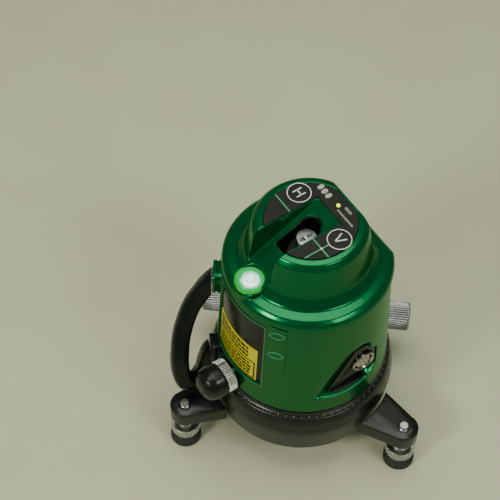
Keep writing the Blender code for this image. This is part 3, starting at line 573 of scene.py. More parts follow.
def make_opening_shade():
    """Painted shade: a dark band round the inside of the beam's opening, just under the sloping floor."""
    rings = []
    for grow, drop in ((0.0006, 0.0027), (0.0006, 0.0010), (-0.0001, 0.0010), (-0.0001, 0.0027)):
        rings.append([(x, y, ramp_height(y) - drop) for x, y in hole_outline(grow)])
    opening_shade = loft("beam_opening_shade", rings, looped=True, smooth=50)
    finish(opening_shade, "instrument", "opening_shade", "black_plastic")


def channel_section(y):
    """The beam channel cut across at one y: open at the top, its floor's edges eased."""
    floor = ramp_height(y)
    right = [(CHANNEL_HALF * 0.88, floor), (CHANNEL_HALF * 0.955, floor + 0.0004),
             (CHANNEL_HALF, floor + 0.0016), (CHANNEL_HALF, ABOVE)]
    left = [(-x, z) for x, z in reversed(right)]
    return [(x, y, z) for x, z in left + right]


def add_tongue(cap):
    """The lip that carries the channel's floor out over the cap's shoulder."""
    root, tip, under = -0.0360, -0.0472, SEAM + 0.0045
    outline = [(root, under), (tip, under), (tip, ramp_height(tip)), (root, ramp_height(root))]
    half = CHANNEL_HALF - 0.0004
    boolean(cap, slab("tongue", outline, -half, half, "x"), "UNION")


def hollow_out(cap):
    """Room inside the cap for the laser module, up to a thin floor under the channel."""
    cone = [(0, SEAM - 0.01), (0.0300, SEAM - 0.01), (0.0270, SEAM + 0.0250), (0, SEAM + 0.0250)]
    boolean(cap, revolve("hollow", cone, 48))
    front, back, foot, floor = -0.0205, CHANNEL_BACK - 0.0020, SEAM + 0.0200, 0.0024
    outline = [(front, foot), (front, ramp_height(front) - floor), (back, ramp_height(back) - floor),
               (back, foot)]
    boolean(cap, slab("room", outline, -0.0150, 0.0150, "x"))


def soften_skin(target):
    """Softens every cut edge like a moulding: a voxel skin, smoothed and then thinned out."""
    skin = target.modifiers.new("skin", "REMESH")
    skin.mode = "VOXEL"
    skin.voxel_size = 0.00045
    soft = target.modifiers.new("soft", "SMOOTH")
    soft.factor = 0.5
    soft.iterations = 5
    thin = target.modifiers.new("thin", "DECIMATE")
    thin.ratio = 0.45
    resmooth(bake(target), 70)


def make_cap():
    cap = loft("cap_shell", [d_ring(radius, flat, SEAM + height)
                             for radius, flat, height in soften(CAP_PROFILE, closed=False)])
    over_vial = at(0, VIAL.y)
    boolean(cap, drum("boss", VIAL_R + 0.0018, SEAM + 0.0040, SEAM + 0.0138, 72, over_vial), "UNION")
    add_tongue(cap)
    boolean(cap, loft("channel", [channel_section(y) for y in (CHANNEL_BACK, -0.072)]))
    hollow_out(cap)
    boolean(cap, slab("hole", hole_outline(0), SEAM + 0.01, ABOVE))
    boolean(cap, drum("pocket", VIAL_R + 0.0003, SEAM + 0.0052, SEAM + 0.03, 72, over_vial))
    boolean(cap, slab("recess", deck_outline(0.0004), DECK - 0.0012, ABOVE))
    for key in KEYS.values():
        boolean(cap, drum("well", KEY_R + 0.0004, DECK - 0.0023, ABOVE, 64, at(key.x, key.y)))
    soften_skin(cap)
    make_opening_shade()
    finish(cap, "instrument", "green", "body_green", "top_cap")


# ---------------------------------------------------------------- key deck

def deck_outline(grow):
    """The horseshoe film: a disc with a flat back, open round the channel, corners eased."""
    radius = DECK_R + grow
    side = CHANNEL_HALF + 0.0010 - grow
    back = CHANNEL_BACK + 0.0010 - grow
    flat_turn = math.asin((DECK_FLAT + grow) / radius)
    front_turn = math.acos(side / radius)
    right = arc(radius, flat_turn, -front_turn, 40)
    left = [(-x, y) for x, y in reversed(right)]
    return right + [(side, back), (-side, back)] + left


def fill_plate(name, outline, holes, low, high):
    """A flat plate with holes: outline and hole loops filled, then given thickness."""
    bm = bmesh.new()
    edges = []
    for loop in [outline, *holes]:
        verts = [bm.verts.new((x, y, high)) for x, y in loop]
        edges += [bm.edges.new((verts[k - 1], verts[k])) for k in range(len(verts))]
    bmesh.ops.triangle_fill(bm, use_beauty=True, edges=edges, normal=(0, 0, 1))
    top = list(bm.faces)
    made = bmesh.ops.extrude_face_region(bm, geom=top)
    moved = [g for g in made["geom"] if isinstance(g, bmesh.types.BMVert)]
    bmesh.ops.translate(bm, verts=moved, vec=(0, 0, low - high))
    bmesh.ops.recalc_face_normals(bm, faces=bm.faces)
    mesh = bpy.data.meshes.new(name)
    bm.to_mesh(mesh)
    bm.free()
    return add(name, mesh, 35)


def ring_outline(radius, middle, steps=64):
    """A circle's points, the last one next to the first."""
    return arc(radius, 0, math.tau, steps, middle)[:-1]


def bar(start, end, width, low=INK_LOW, high=INK_HIGH):
    """A flat printed stroke with rounded ends, on the deck unless its heights are given."""
    first, last = Vector(start), Vector(end)
    turn = math.atan2((last - first).y, (last - first).x)
    outline = arc(width / 2, turn + math.pi / 2, turn + math.pi * 1.5, 6, tuple(first))
    outline += arc(width / 2, turn - math.pi / 2, turn + math.pi / 2, 6, tuple(last))
    return slab("bar", outline, low, high)


def bar_row(count, start, pitch, y, length, width):
    """Short bars side by side, in place of wording."""
    lefts = [start + pitch * k for k in range(count)]
    return [bar((x, y), (x + length, y), width) for x in lefts]


def make_deck():
    key_hole, lamp_hole = KEY_R + 0.0003, 0.0017
    holes = [ring_outline(key_hole, (key.x, key.y)) for key in KEYS.values()]
    holes.append(ring_outline(lamp_hole, (LED.x, LED.y), 24))
    film = fill_plate("key_film_sheet", deck_outline(0), holes, DECK - 0.0008, DECK)
    finish(film, "instrument", "film", "key_film", "key_overlay")
    for name, key in KEYS.items():
        ring = drum(f"key_ring_{name}", KEY_R + 0.0010, INK_LOW, INK_HIGH, 96, at(key.x, key.y), key_hole)
        finish(ring, "instrument", "print_white", "key_print")
    make_deck_lines()
    light = [bar((x, 0.0213), (x, 0.0232), 0.0034) for x in (-0.0196, -0.0150, -0.0104)]
    finish(join("plain_bars_light", light), "instrument", "print_grey", "key_print")
    faint = bar_row(2, 0.0052, 0.0034, 0.0258, 0.0016, 0.0022)
    faint += bar_row(7, 0.0034, 0.0025, 0.0203, 0.0010, 0.0016)
    finish(join("plain_bars_grey", faint), "instrument", "faded", "key_print")


def make_deck_lines():
    """The printed line across the deck, its cross at the right and the dot on it."""
    x, y, width = 0.0234, KEYS["H"].y - 0.0146, 0.0009
    lines = [bar((-0.0307, y), (-0.0142, y), width), bar((0.0142, y), (0.0312, y), width),
             bar((x, y + 0.0055), (x, y - 0.0135), width)]
    finish(join("deck_lines", lines), "instrument", "green_print_and_ridge_highlight", "key_print")
    dot = drum("cross_dot", 0.0009, INK_LOW, INK_HIGH + 0.00004, 24, at(x, y))
    finish(dot, "instrument", "print_white", "key_print")


KEY_STROKES = {  # each letter's strokes, in shares of its size
    "H": (((-0.55, -0.7), (-0.55, 0.7)), ((0.55, -0.7), (0.55, 0.7)), ((-0.55, 0.0), (0.55, 0.0))),
    "V": (((-0.62, 0.8), (0.0, -0.8)), ((0.62, 0.8), (0.0, -0.8))),
}


def make_keys():
    top, stem, rim, size = DECK + 0.0004, 0.0028, KEY_R - 0.0001, 0.0047
    profile = [(0, top - 0.0064, 0), (stem, top - 0.0064, 0), (stem, top - 0.0018, 0),
               (rim, top - 0.0018, 0), (rim, top, 0.0005), (0.0045, top - 0.0001, 0.002),
               (0, top - 0.0002, 0)]
    for name, key in KEYS.items():
        letter = name.lower()
        cap = turned(f"key_cap_{name}", profile, 72, at(key.x, key.y), 5)
        finish(cap, f"{letter}_button", "film", "key_film", f"{letter}_line_button")
        marks = [bar(key.xy + Vector(start) * size, key.xy + Vector(end) * size, 0.0010,
                     top - 0.0002, top + 0.00004) for start, end in KEY_STROKES[name]]
        finish(join(f"key_mark_{name}", marks), f"{letter}_button", "print_white", "key_print")


def make_led():
    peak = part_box("status_led")[1].z
    profile = [(0, DECK - 0.005, 0), (0.0014, DECK - 0.005, 0), (0.0014, DECK + 0.0003, 0.0004),
               (0.0008, peak - 0.0001, 0.0006), (0, peak, 0)]
    lens = turned("led_lens", profile, 28, at(LED.x, LED.y))
    finish(lens, "instrument", "led", "led_lime", "status_led")


# ---------------------------------------------------------------- vial

def make_vial():
    low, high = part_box("bullseye_vial")
    place = at(VIAL.x, VIAL.y)
    r, top = VIAL_R, high.z
    profile = [(0, low.z, 0), (r, low.z, 0), (r, top - 0.0012, 0.0007),
               (r - 0.0009, top - 0.0002, 0.0004), (r - 0.0016, top - 0.0007, 0.0004),
               (r * 0.5, top - 0.0003, 0.004), (0, top - 0.0001, 0)]
    # the lens wears painted glow, its bright core a painted highlight
    finish(turned("vial_lens", profile, 96, place, 5), "instrument", "vial", "vial_glass", "bullseye_vial")
    # the circle on the lens wears the collar's painted glow
    circle = drum("vial_circle_painted_glow", r * 0.40, top - 0.0004, top - 0.0001, 72, place, r * 0.36)
    finish(circle, "instrument", "collar", "vial_collar")


# ---------------------------------------------------------------- body shell

def scoop_depth(y, z):
    """How far into the connector scoop a point is: 1 over its flat floor, 0 outside it."""
    run = (SCOOP_TOP - SCOOP_FOOT).normalized()
    inward = Vector((run.y, -run.x))
    past_slant = (Vector((y, z)) - SCOOP_FOOT).dot(inward)
    left = smoothstep(-0.0150, 0.0, past_slant)
    upper_corner = 0.0085 * smoothstep(SCOOP_HIGH - 0.0110, SCOOP_HIGH - 0.0010, z)
    lower_corner = 0.0100 * smoothstep(SCOOP_LOW + 0.0110, SCOOP_LOW, z)
    right = smoothstep(0.0, 0.0009, SCOOP_RIGHT - lower_corner - upper_corner - y)
    below = smoothstep(SCOOP_LOW - 0.0008, SCOOP_LOW, z)
    ceiling = SCOOP_HIGH + 0.0140 * smoothstep(0.0230, 0.0060, y)
    above = smoothstep(ceiling, SCOOP_HIGH - 0.0010, z)
    return left * right * below * above


def panel_offset(turn, z):
    """The front panel's shallow recess and the thin raised frame round it."""
    side = PANEL_HALF - abs(turn - FRONT)
    inner = min(side * body_radius(z), z - RECESS_LOW, RECESS_HIGH - z)
    recess = -0.0012 * smoothstep(0.0, 0.0005, inner)
    lip = 0.0006 * smoothstep(-0.0014, -0.0008, inner) * smoothstep(0.0003, -0.0003, inner)
    return recess + lip


def shell_levels():
    """Heights of the shell's rings, close together at the panel's and the scoop's edges."""
    levels = [BODY_LOW + 0.0004 * k for k in range(4)]
    z = BODY_LOW + 0.0016
    while z < SEAM - 0.0014:
        levels.append(z)
        edge = min(abs(z - level) for level in (RECESS_LOW, RECESS_HIGH, SCOOP_LOW))
        z += 0.0003 if edge < 0.0022 else 0.0011
    return levels + [SEAM - 0.0012, SEAM - 0.0009, SEAM - 0.0006]


def shell_turns():
    """Angles round the front of the shell, close together at the panel's and the scoop's edges."""
    turns = []
    degrees = -234.0
    while degrees <= 54.0:
        turns.append(math.radians(degrees))
        panel_edge = abs(abs(degrees + 90) - math.degrees(PANEL_HALF))
        scoop = -38 < degrees < 26
        degrees += 0.35 if panel_edge < 2.6 else (0.8 if scoop else 1.5)
    return turns


def shell_ring(z, turns):
    """The casing's outline at a height: the panel and the scoop in its round front, then its back."""
    radius, flat = body_radius(z), body_flat(z)
    ease = 0.0006 * (1 - smoothstep(BODY_LOW, BODY_LOW + 0.0012, z))
    ease += 0.0003 * smoothstep(SEAM - 0.0014, SEAM - 0.0006, z)
    front = []
    for turn in turns:
        point = on_body(turn, z, panel_offset(turn, z) - ease)
        dent = max(0.0, point.x - SCOOP_FLOOR) * scoop_depth(point.y, z) if point.x > 0 else 0.0
        front.append((point.x - dent, point.y))
    cx, turn = corner_of(radius, flat, BACK_CORNER)
    right = arc(BACK_CORNER - ease, turn, math.pi / 2, 6, (cx, flat - BACK_CORNER))
    left = arc(BACK_CORNER - ease, math.pi / 2, math.pi - turn, 6, (-cx, flat - BACK_CORNER))
    back = [(cx - 2 * cx * k / 30, flat - ease) for k in range(1, 30)]
    return [(x, y, z) for x, y in front + right + back + left]


def make_shell():
    turns = shell_turns()
    rings = [shell_ring(z, turns) for z in shell_levels()]
    foot, head = rings[0], rings[-1]
    lip = 1 - 0.0025 / BODY_R_LOW
    for ring, z, share in ((head, SEAM - 0.0006, lip), (head, SEAM - 0.0030, lip),
                           (head, SEAM - 0.0060, INSIDE), (foot, BODY_LOW + 0.0060, INSIDE),
                           (foot, BODY_LOW + 0.0030, lip), (foot, BODY_LOW, lip)):
        rings.append([(x * share, y * share, z) for x, y, _ in ring])
    shell = loft("body_casing", rings, looped=True, smooth=50)
    low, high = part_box("battery_tray")
    gap = 0.0002
    bay = rounded_box(high.x + gap, (high.y - low.y) / 2 + gap, 0.0004, 2, (0, (low.y + high.y) / 2))
    boolean(shell, slab("bay", bay, low.z - gap, high.z + gap))
    inner = high.y - 0.002
    low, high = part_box("battery_door")
    gap = 0.0004
    mouth = rounded_box(high.x + gap, (high.z - low.z) / 2 + gap, 0.0024, 6, (0, (low.z + high.z) / 2))
    boolean(shell, slab("mouth", mouth, inner, 0.07, "y"))
    finish(shell, "instrument", "green", "body_green", "body_shell")


def curved_plate(name, low, high, left, right, inside, outside, columns, rows):
    """A thin plate that follows the body; left and right give its side edges' angles at a height."""
    grid = []
    for out in (outside, inside):
        sheet = []
        for r in range(rows + 1):
            z = low + (high - low) * r / rows
            a, b = left(z), right(z)
            sheet.append([on_body(a + (b - a) * c / columns, z, out) for c in range(columns + 1)])
        grid.append(sheet)
    width = columns + 1
    count = width * (rows + 1)
    vertices = [point for sheet in grid for row in sheet for point in row]
    faces = []
    for sheet in (0, count):
        for r in range(rows):
            for c in range(columns):
                k = sheet + r * width + c
                faces.append((k, k + 1, k + width + 1, k + width))
    border = list(range(width))
    border += [r * width + columns for r in range(1, rows + 1)]
    border += [rows * width + c for c in range(columns - 1, -1, -1)]
    border += [r * width for r in range(rows - 1, 0, -1)]
    for k, here in enumerate(border):
        there = border[(k + 1) % len(border)]
        faces.append((here, there, there + count, here + count))
    return make(name, vertices, faces, 30)


def plain_plate(name, low, high, left, right, inside, outside, columns, rows):
    """A curved plate whose side edges keep one angle each."""
    return curved_plate(name, low, high, lambda z: left, lambda z: right, inside, outside, columns, rows)


def make_panel():
    half, gap = PANEL_HALF - 0.006, 0.0003
    film = plain_plate("panel_film", RECESS_LOW + gap, RECESS_HIGH - gap, FRONT - half, FRONT + half,
                       -0.0013, -0.00105, 72, 40)
    finish(film, "instrument", "window", "black_plastic")
    low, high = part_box("front_window")
    half = math.radians(22)
    window = plain_plate("window_pane", low.z, high.z, FRONT - half, FRONT + half, -0.0022, -0.0008, 64, 24)
    finish(window, "instrument", "window", "window_glass", "front_window")
    low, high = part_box("label_plate")
    half, top = math.radians(21.7), high.z - 0.0028
    label = plain_plate("label_sheet", low.z, top, FRONT - half, FRONT + half, -0.0010, -0.0004, 64, 28)
    finish(label, "instrument", "yellow", "label_yellow", "label_plate")
    make_label_print(low.z, top, half)
    make_panel_frame()


def make_label_print(low, high, half):
    """Plain bars in place of wording, with the rules that divide the label in two."""
    reach = body_radius((low + high) / 2)
    parts = []

    def stroke(x0, x1, z0, z1):
        columns = max(2, int((x1 - x0) / 0.002))
        parts.append(plain_plate("stroke", z0, z1, FRONT + x0 / reach, FRONT + x1 / reach, -0.0005, -0.00022,
                                 columns, 1))

    side = half * reach
    inset, rule = side - 0.0017, 0.0010
    middle = low + (high - low) * 0.54
    stroke(-side, side - 0.0012, middle, middle + rule)
    stroke(inset - rule, inset, low + 0.0012, middle)
    stroke(-inset, -inset + rule, low + 0.0012, middle)
    stroke(-inset, inset, low + 0.0008, low + 0.0017)
    blocks = ((middle + 0.0024, high - 0.0012, 3, -side + 0.0030, side - 0.0095),
              (low + 0.0030, middle - 0.0016, 4, -side + 0.0045, side - 0.0065))
    for block_low, block_high, lines, left, right in blocks:
        pitch = (block_high - block_low) / lines
        for line in range(lines):
            z = block_high - pitch * (line + 0.5)
            x, word = left, 0
            while x < right:
                length = 0.0021 + 0.0009 * ((7 * line + 5 * word) % 4)
                stroke(x, min(x + length, right + 0.001), z - pitch * 0.27, z + pitch * 0.27)
                x += length + 0.0008
                word += 1
    finish(join("label_print", parts), "instrument", "ink", "label_yellow")


def make_panel_frame():
    """The thin raised rim round the front panel, painted a lighter green than the body as a highlight along
    the rim.
    """
    width = 0.0012
    turn = width / body_radius(RECESS_LOW)
    left, right = FRONT - PANEL_HALF, FRONT + PANEL_HALF
    low, high = RECESS_LOW - width, RECESS_HIGH + width
    strips = []
    for start, end, foot, head in ((left - turn, left, low, high), (right, right + turn, low, high),
                                   (left, right, low, RECESS_LOW), (left, right, RECESS_HIGH, high)):
        columns = max(2, int((end - start) / 0.012))
        strips.append(plain_plate("strip", foot, head, start, end, -0.0006, 0.0007, columns, 2))
    finish(join("panel_frame", strips), "instrument", "frame", "body_green")


def make_grip():
    """The raised strip beside the panel, and the two raised loops on it, painted a lighter green as a
    highlight along their ridges.
    """
    low, high = 0.1250, 0.1832
    mid, half = math.radians(-55.0), 0.0072

    def side(z):
        """Half width at a height: full above, closing in an arc at the lower end."""
        rise = min(1.0, (z - low) / 0.0052)
        return half * (0.42 + 0.58 * math.sqrt(max(0.0, 1 - (1 - rise) ** 2)))

    strip = curved_plate("grip_pad", low, high, lambda z: mid - side(z) / body_radius(z),
                         lambda z: mid + side(z) / body_radius(z), -0.0004, 0.0008, 14, 60)
    bevel(strip, 0.00045, 3)
    finish(strip, "instrument", "green", "body_green", "grip_strip")
    marks = []
    for z in (SEAM - 0.0105, SEAM - 0.0342):
        centreline = []
        for k in range(48):
            a = math.tau * k / 48
            x = 0.0056 * math.copysign(abs(math.cos(a)) ** 1.15, math.cos(a))
            height = 0.0034 * math.copysign(abs(math.sin(a)) ** 1.35, math.sin(a))
            centreline.append(on_body(mid + x / body_radius(z), z + height + x * 0.12, 0.0009))
        marks.append(tube("mark", centreline, 0.00032))
    # the loops' lighter green is a painted highlight
    finish(join("grip_loops_painted_highlight", marks), "instrument", "green_print_and_ridge_highlight", "body_green")


def tube(name, path, radius, sides=8):
    """A closed loop of round section along a path."""
    rings = []
    for k, point in enumerate(path):
        along = (path[(k + 1) % len(path)] - path[k - 1]).normalized()
        out = Vector((point.x, point.y, 0)).normalized()
        side = along.cross(out).normalized()
        rings.append([point + (out * math.cos(a) + side * math.sin(a)) * radius
                      for a in (math.tau * n / sides for n in range(sides))])
    return loft(name, rings, looped=True)


# ---------------------------------------------------------------- connector

def make_connector():
    place = along_socket()
    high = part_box("connector_shell")[1]
    front, rim, bore = high.x, high.y - SOCKET.y, 0.0073
    profile = [(bore, front - 0.0075, 0), (0.0087, front - 0.0075, 0), (0.0087, front - 0.0022, 0),
               (rim, front - 0.0022, 0.0002), (rim, front - 0.0007, 0.0005), (rim - 0.0007, front, 0.0003),
               (rim - 0.0014, front, 0.0003), (bore, front - 0.0012, 0.0004)]
    shell = turned("connector_barrel", profile, 72, place, 5)
    finish(shell, "instrument", "nickel", "nickel", "connector_shell")
    face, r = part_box("connector_insert")[1].x, 0.0061
    back = face - 0.006
    profile = [(0, back, 0), (r, back, 0), (r, face, 0.0004), (0.0050, face, 0), (0, face, 0)]
    insert = turned("contact_insert", profile, 64, place)
    finish(insert, "instrument", "cream", "insert_cream", "connector_insert")
    # painted shade: a dark ring fills the gap between the insert and the barrel
    cup = drum("contact_gap_painted_shade", 0.0072, back, face - 0.0012, 64, place, r)
    finish(cup, "instrument", "dark", "black_plastic")
    # painted shade: dark discs on the insert's face stand for its contact holes
    holes = []
    first_turn = 0.35
    for count, reach in ((1, 0.0), (5, 0.0022), (8, 0.0044)):
        for k in range(count):
            a = math.tau * k / count + first_turn
            spot = place @ at(reach * math.cos(a), reach * math.sin(a))
            holes.append(drum("hole", 0.00062, face - 0.0010, face + 0.00005, 16, spot))
    finish(join("contact_holes_painted_shade", holes), "instrument", "dark", "black_plastic")
    make_bezel()
    make_scoop_shelf()


def make_bezel():
    """The flat black plate on the scoop's floor."""
    low, high = SCOOP_LOW + 0.0005, SCOOP_HIGH - 0.0006
    outline = [(-0.0192, low, 0.0010), (0.0090, low, 0.0030), (0.0190, low + 0.0040, 0.0060),
               (SCOOP_RIGHT - 0.0008, 0.1140, 0.0060), (SCOOP_RIGHT - 0.0020, 0.1305, 0.0030),
               (0.0146, high, 0.0015), (0.0036, high - 0.0010, 0.0015)]
    plate = slab("connector_plate", soften(outline, 6), SCOOP_FLOOR + 0.0003, SCOOP_FLOOR + 0.0014, "x")
    boolean(plate, drum("bore", 0.0090, 0.04, 0.08, 64, along_socket()))
    bevel(plate, 0.0003, 2)
    finish(plate, "instrument", "black", "black_plastic", "connector_bezel")


def make_scoop_shelf():
    """The black ledge along the scoop's foot, short of the casing's green lip."""
    left, right = -0.0150, SCOOP_RIGHT - 0.0112
    reach, inner = body_radius(SCOOP_LOW) - 0.0022, SCOOP_FLOOR + 0.0012
    ys = [left + (right - left) * k / 24 for k in range(25)]
    outline = [(math.sqrt(reach ** 2 - y ** 2), y) for y in ys] + [(inner, right), (inner, left)]
    ledge = slab("scoop_shelf", outline, SCOOP_LOW - 0.0004, SCOOP_LOW + 0.0007)
    bevel(ledge, 0.0003, 2)
    finish(ledge, "instrument", "black", "black_plastic")


# ---------------------------------------------------------------- handle

def smooth_path(points, steps):
    """A curve through every point, with its slope at each taken from the two neighbours."""
    padded = [2 * points[0] - points[1], *points, 2 * points[-1] - points[-2]]
    path = []
    for a, b, c, d in zip(padded, padded[1:], padded[2:], padded[3:]):
        for k in range(steps):
            t = k / steps
            path.append(0.5 * (2 * b + (c - a) * t + (2 * a - 5 * b + 4 * c - d) * t ** 2
                               + (3 * b - a - 3 * c + d) * t ** 3))
    return path + [points[-1]]


HANDLE_STATIONS = [  # degrees round the axis, reach and height
    (-128.5, 0.0620, 0.1590), (-127, 0.0677, 0.1532), (-125, 0.0742, 0.1440), (-120.8, 0.0831, 0.1296),
    (-115, 0.0903, 0.1114), (-110, 0.0939, 0.0948), (-107.5, 0.0948, 0.0800), (-106, 0.0920, 0.0672),
    (-106.5, 0.0835, 0.0628), (-108.3, 0.0768, 0.0690), (-109.8, 0.0735, 0.0800), (-110.5, 0.0700, 0.0905),
    (-110.5, 0.0640, 0.0970),
]


def handle_section(point, along):
    """The handle's rounded-square outline at a point of its path."""
    outward = Vector((point.x, point.y, 0)).normalized()
    side = along.cross(outward).normalized()
    out = side.cross(along)
    ring = []
    for n in range(48):
        a = math.tau * n / 48
        c = math.copysign(abs(math.cos(a)) ** 0.62, math.cos(a))
        s = math.copysign(abs(math.sin(a)) ** 0.72, math.sin(a))
        ring.append(point + out * (0.0068 * c + 0.0006) + side * 0.0068 * s)
    return ring


def make_handle():
    points = []
    for degrees, reach, height in HANDLE_STATIONS:
        turn = math.radians(degrees)
        points.append(Vector((reach * math.cos(turn), reach * math.sin(turn), height)))
    path = smooth_path(points, 10)
    rings = []
    for k, point in enumerate(path):
        along = (path[min(k + 1, len(path) - 1)] - path[max(k - 1, 0)]).normalized()
        rings.append(handle_section(point, along))
    handle = loft("handle_bow", rings, smooth=60)
    keep = revolve("keep", [(0, 0.050), (LOWER_TRIM, 0.050), (LOWER_TRIM, 0.120), (UPPER_TRIM, 0.130),
                            (UPPER_TRIM, 0.190), (0, 0.190)], 96)
    boolean(handle, keep)
    finish(resmooth(handle, 50), "instrument", "handle", "rubber", "carry_handle")
    make_lug("handle_lug_upper", math.radians(-127), 0.0672, 0.0095, 0.0050, "green", "body_green")
    make_lug("handle_lug_lower", math.radians(-110.5), 0.0706, 0.0078, 0.0030, "black", "black_plastic")


def make_lug(node_name, turn, reach, half, rounding, material, slot):
    """A lug with rounded shoulders and a groove between its two cheeks."""
    low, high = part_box(node_name)[0].z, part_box(node_name)[1].z
    inner = body_radius(high) - 0.0010
    length = reach - inner
    outline = soften([(-half, low, rounding * 0.6), (half, low, rounding * 0.6), (half, high, rounding),
                      (-half, high, rounding)], 6)
    middle = Vector((0, (low + high) / 2))
    rings = []
    for x, scale in ((inner, 1.0), (inner + length * 0.42, 1.0), (inner + length * 0.50, 0.93),
                     (inner + length * 0.60, 0.93), (inner + length * 0.68, 1.0),
                     (reach - 0.0007, 1.0), (reach - 0.0002, 0.97), (reach, 0.90)):
        rings.append([(x, *(middle + (point - middle) * scale)) for point in outline])
    lug = loft(f"{node_name}_block", rings, Matrix.Rotation(turn, 4, "Z"), smooth=45)
    finish(lug, "instrument", material, slot, node_name)


# ---------------------------------------------------------------- knobs

def fluted(count, depth, low, high, sharp):
    """A wave that cuts flutes into the outer band of a turned shape."""
    def wave(angle, radius, height):
        band = smoothstep(low, low + 0.0004, height) * smoothstep(high, high - 0.0004, height)
        return radius - depth * band * abs(math.sin(count * angle / 2)) ** sharp
    return wave


def make_lock_knob():
    place = forward_at(LOCK_Z)
    near, far = -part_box("lock_knob_ring")[1].y, RING_FAR
    r = half_width("lock_knob_ring") + 0.0002
    profile = [(0, near, 0), (r - 0.0004, near, 0.0002), (r, near + 0.0005, 0.0003), (r, near + 0.0012, 0),
               (r, (near + far) / 2, 0), (r, far - 0.0014, 0), (r, far - 0.0006, 0.0002),
               (r - 0.0007, far, 0.0002), (0, far, 0)]
    flutes = fluted(38, 0.0017, near + 0.0002, far - 0.0001, 0.6)
    ring = turned("knurled_ring", profile, 432, place, wave=flutes, smooth=30)
    finish(ring, "lock_knob", "silver", "satin_silver", "lock_knob_ring")

    near, far = RING_FAR + 0.0002, -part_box("lock_knob_cap")[0].y
    r, deep = half_width("lock_knob_cap") - 0.0006, far - near
    profile = [(0, near, 0), (r - 0.0009, near, 0.0004), (r, near + 0.0012, 0.0010),
               (r, near + deep * 0.43, 0.0040), (r * 0.90, near + deep * 0.72, 0.0060),
               (r * 0.66, near + deep * 0.91, 0.0060), (r * 0.36, far - 0.0002, 0.0040), (0, far, 0)]
    finish(turned("knob_dome", profile, 96, place, 6), "lock_knob", "black", "black_plastic", "lock_knob_cap")


def make_fine_knobs():
    near, far = 0.0625, 0.0829
    flutes = fluted(40, 0.0006, near + 0.0014, far - 0.0014, 0.8)
    for side, node_name in ((1, "fine_knob_right"), (-1, "fine_knob_left")):
        low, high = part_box(node_name)
        r = (high.z - low.z) / 2
        profile = [(0, near, 0), (r - 0.0012, near, 0.0003), (r, near + 0.0012, 0.0005),
                   (r, near + 0.0026, 0), (r, (near + far) / 2, 0), (r, far - 0.0026, 0),
                   (r, far - 0.0012, 0.0006), (r - 0.0012, far, 0.0006), (r * 0.62, far, 0.0002),
                   (r * 0.58, far - 0.0006, 0.0003), (0, far - 0.0006, 0)]
        knob = turned(f"{node_name}_grip", profile, 320, along_worm(side), wave=flutes, smooth=30)
        finish(knob, "worm", "knob", "knob_grey", node_name)


# ---------------------------------------------------------------- base

def make_base():
    low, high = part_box("base_housing")
    neck, r = 0.0245, HOUSING_R
    profile = [(neck, high.z, 0), (0.0560, high.z, 0), (0.0668, high.z, 0.0022), (0.0690, 0.0690, 0.0060),
               (r, 0.0595, 0.0060), (r - 0.0002, 0.0540, 0.008), (0.0684, low.z + 0.0010, 0.0008),
               (0.0676, low.z, 0.0004), (0.0652, low.z, 0), (0.0640, 0.0700, 0), (neck, 0.0710, 0)]
    housing = turned("base_bowl", profile, 160, ease=6)
    bore, near, far = 0.0045, 0.0350, 0.0605
    sleeve = [(bore, near, 0), (0.0102, near, 0), (0.0102, far, 0.0010), (bore, far, 0.0004)]
    for side in (1, -1):
        boolean(housing, turned("boss", sleeve, 64, along_worm(side), 5), "UNION")
    finish(resmooth(housing, 40), "base", "black", "black_plastic", "base_housing")
    make_dial()
    make_plate()
    make_bush()


def make_dial():
    """The ribbed azimuth ring and the graduations above its ribs."""
    low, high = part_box("azimuth_dial_ring")
    bore, r, foot = 0.0575, high.x, low.z
    profile = [(bore, foot, 0), (r - 0.0004, foot, 0.0002), (r, foot + 0.0008, 0.0002),
               (r, foot + 0.0013, 0), (r, foot + 0.0021, 0), (r, foot + 0.0026, 0.0002),
               (r - 0.0010, foot + 0.0032, 0.0003), (r - 0.0014, high.z, 0.0004), (bore, high.z, 0)]

    def ribs(angle, radius, height):
        band = smoothstep(foot + 0.0004, foot + 0.0008, height)
        band *= smoothstep(foot + 0.0030, foot + 0.0026, height)
        return radius - 0.0002 * band * abs(math.sin(90 * angle))

    dial = turned("dial_ring", profile, 720, wave=ribs, smooth=60)
    finish(dial, "base", "black", "black_plastic", "azimuth_dial_ring")
    ticks = []
    for k in range(72):
        length = 0.0020 if k % 2 == 0 else 0.0012
        outline = rounded_box(0.00022, length / 2, 0.0001, 1, (0, high.z - 0.0046 + length / 2))
        place = Matrix.Rotation(math.tau * k / 72, 4, "Z")
        ticks.append(slab("tick", outline, r + 0.00002, r - 0.0004, "x", place))
    finish(join("dial_ticks", ticks), "base", "print_grey", "satin_silver")


def make_plate():
    """The cover under the base, with a shallow groove and six screws."""
    low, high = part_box("base_plate")
    bore, r, foot, groove = 0.0134, high.x, low.z, low.z + 0.0008
    profile = [(bore, foot, 0), (0.0300, foot, 0), (0.0305, groove, 0.0003), (0.0420, groove, 0.0003),
               (0.0425, foot, 0), (r - 0.0010, foot, 0.0005), (r, foot + 0.0010, 0.0005), (r, high.z, 0),
               (bore, high.z, 0)]
    finish(turned("base_cover", profile, 128), "base", "black", "black_plastic", "base_plate")
    head = [(0.0011, 0.0006, 0), (0.0011, -0.0002, 0), (0.0024, -0.0003, 0.0003), (0.0027, 0.0006, 0.0002)]
    screws = []
    for k in range(6):
        a = math.radians(30 + 60 * k)
        place = at(0.0560 * math.cos(a), 0.0560 * math.sin(a), foot)
        screws.append(turned("screw", head, 24, place, 3))
    finish(join("cover_screws", screws), "base", "steel", "nickel")


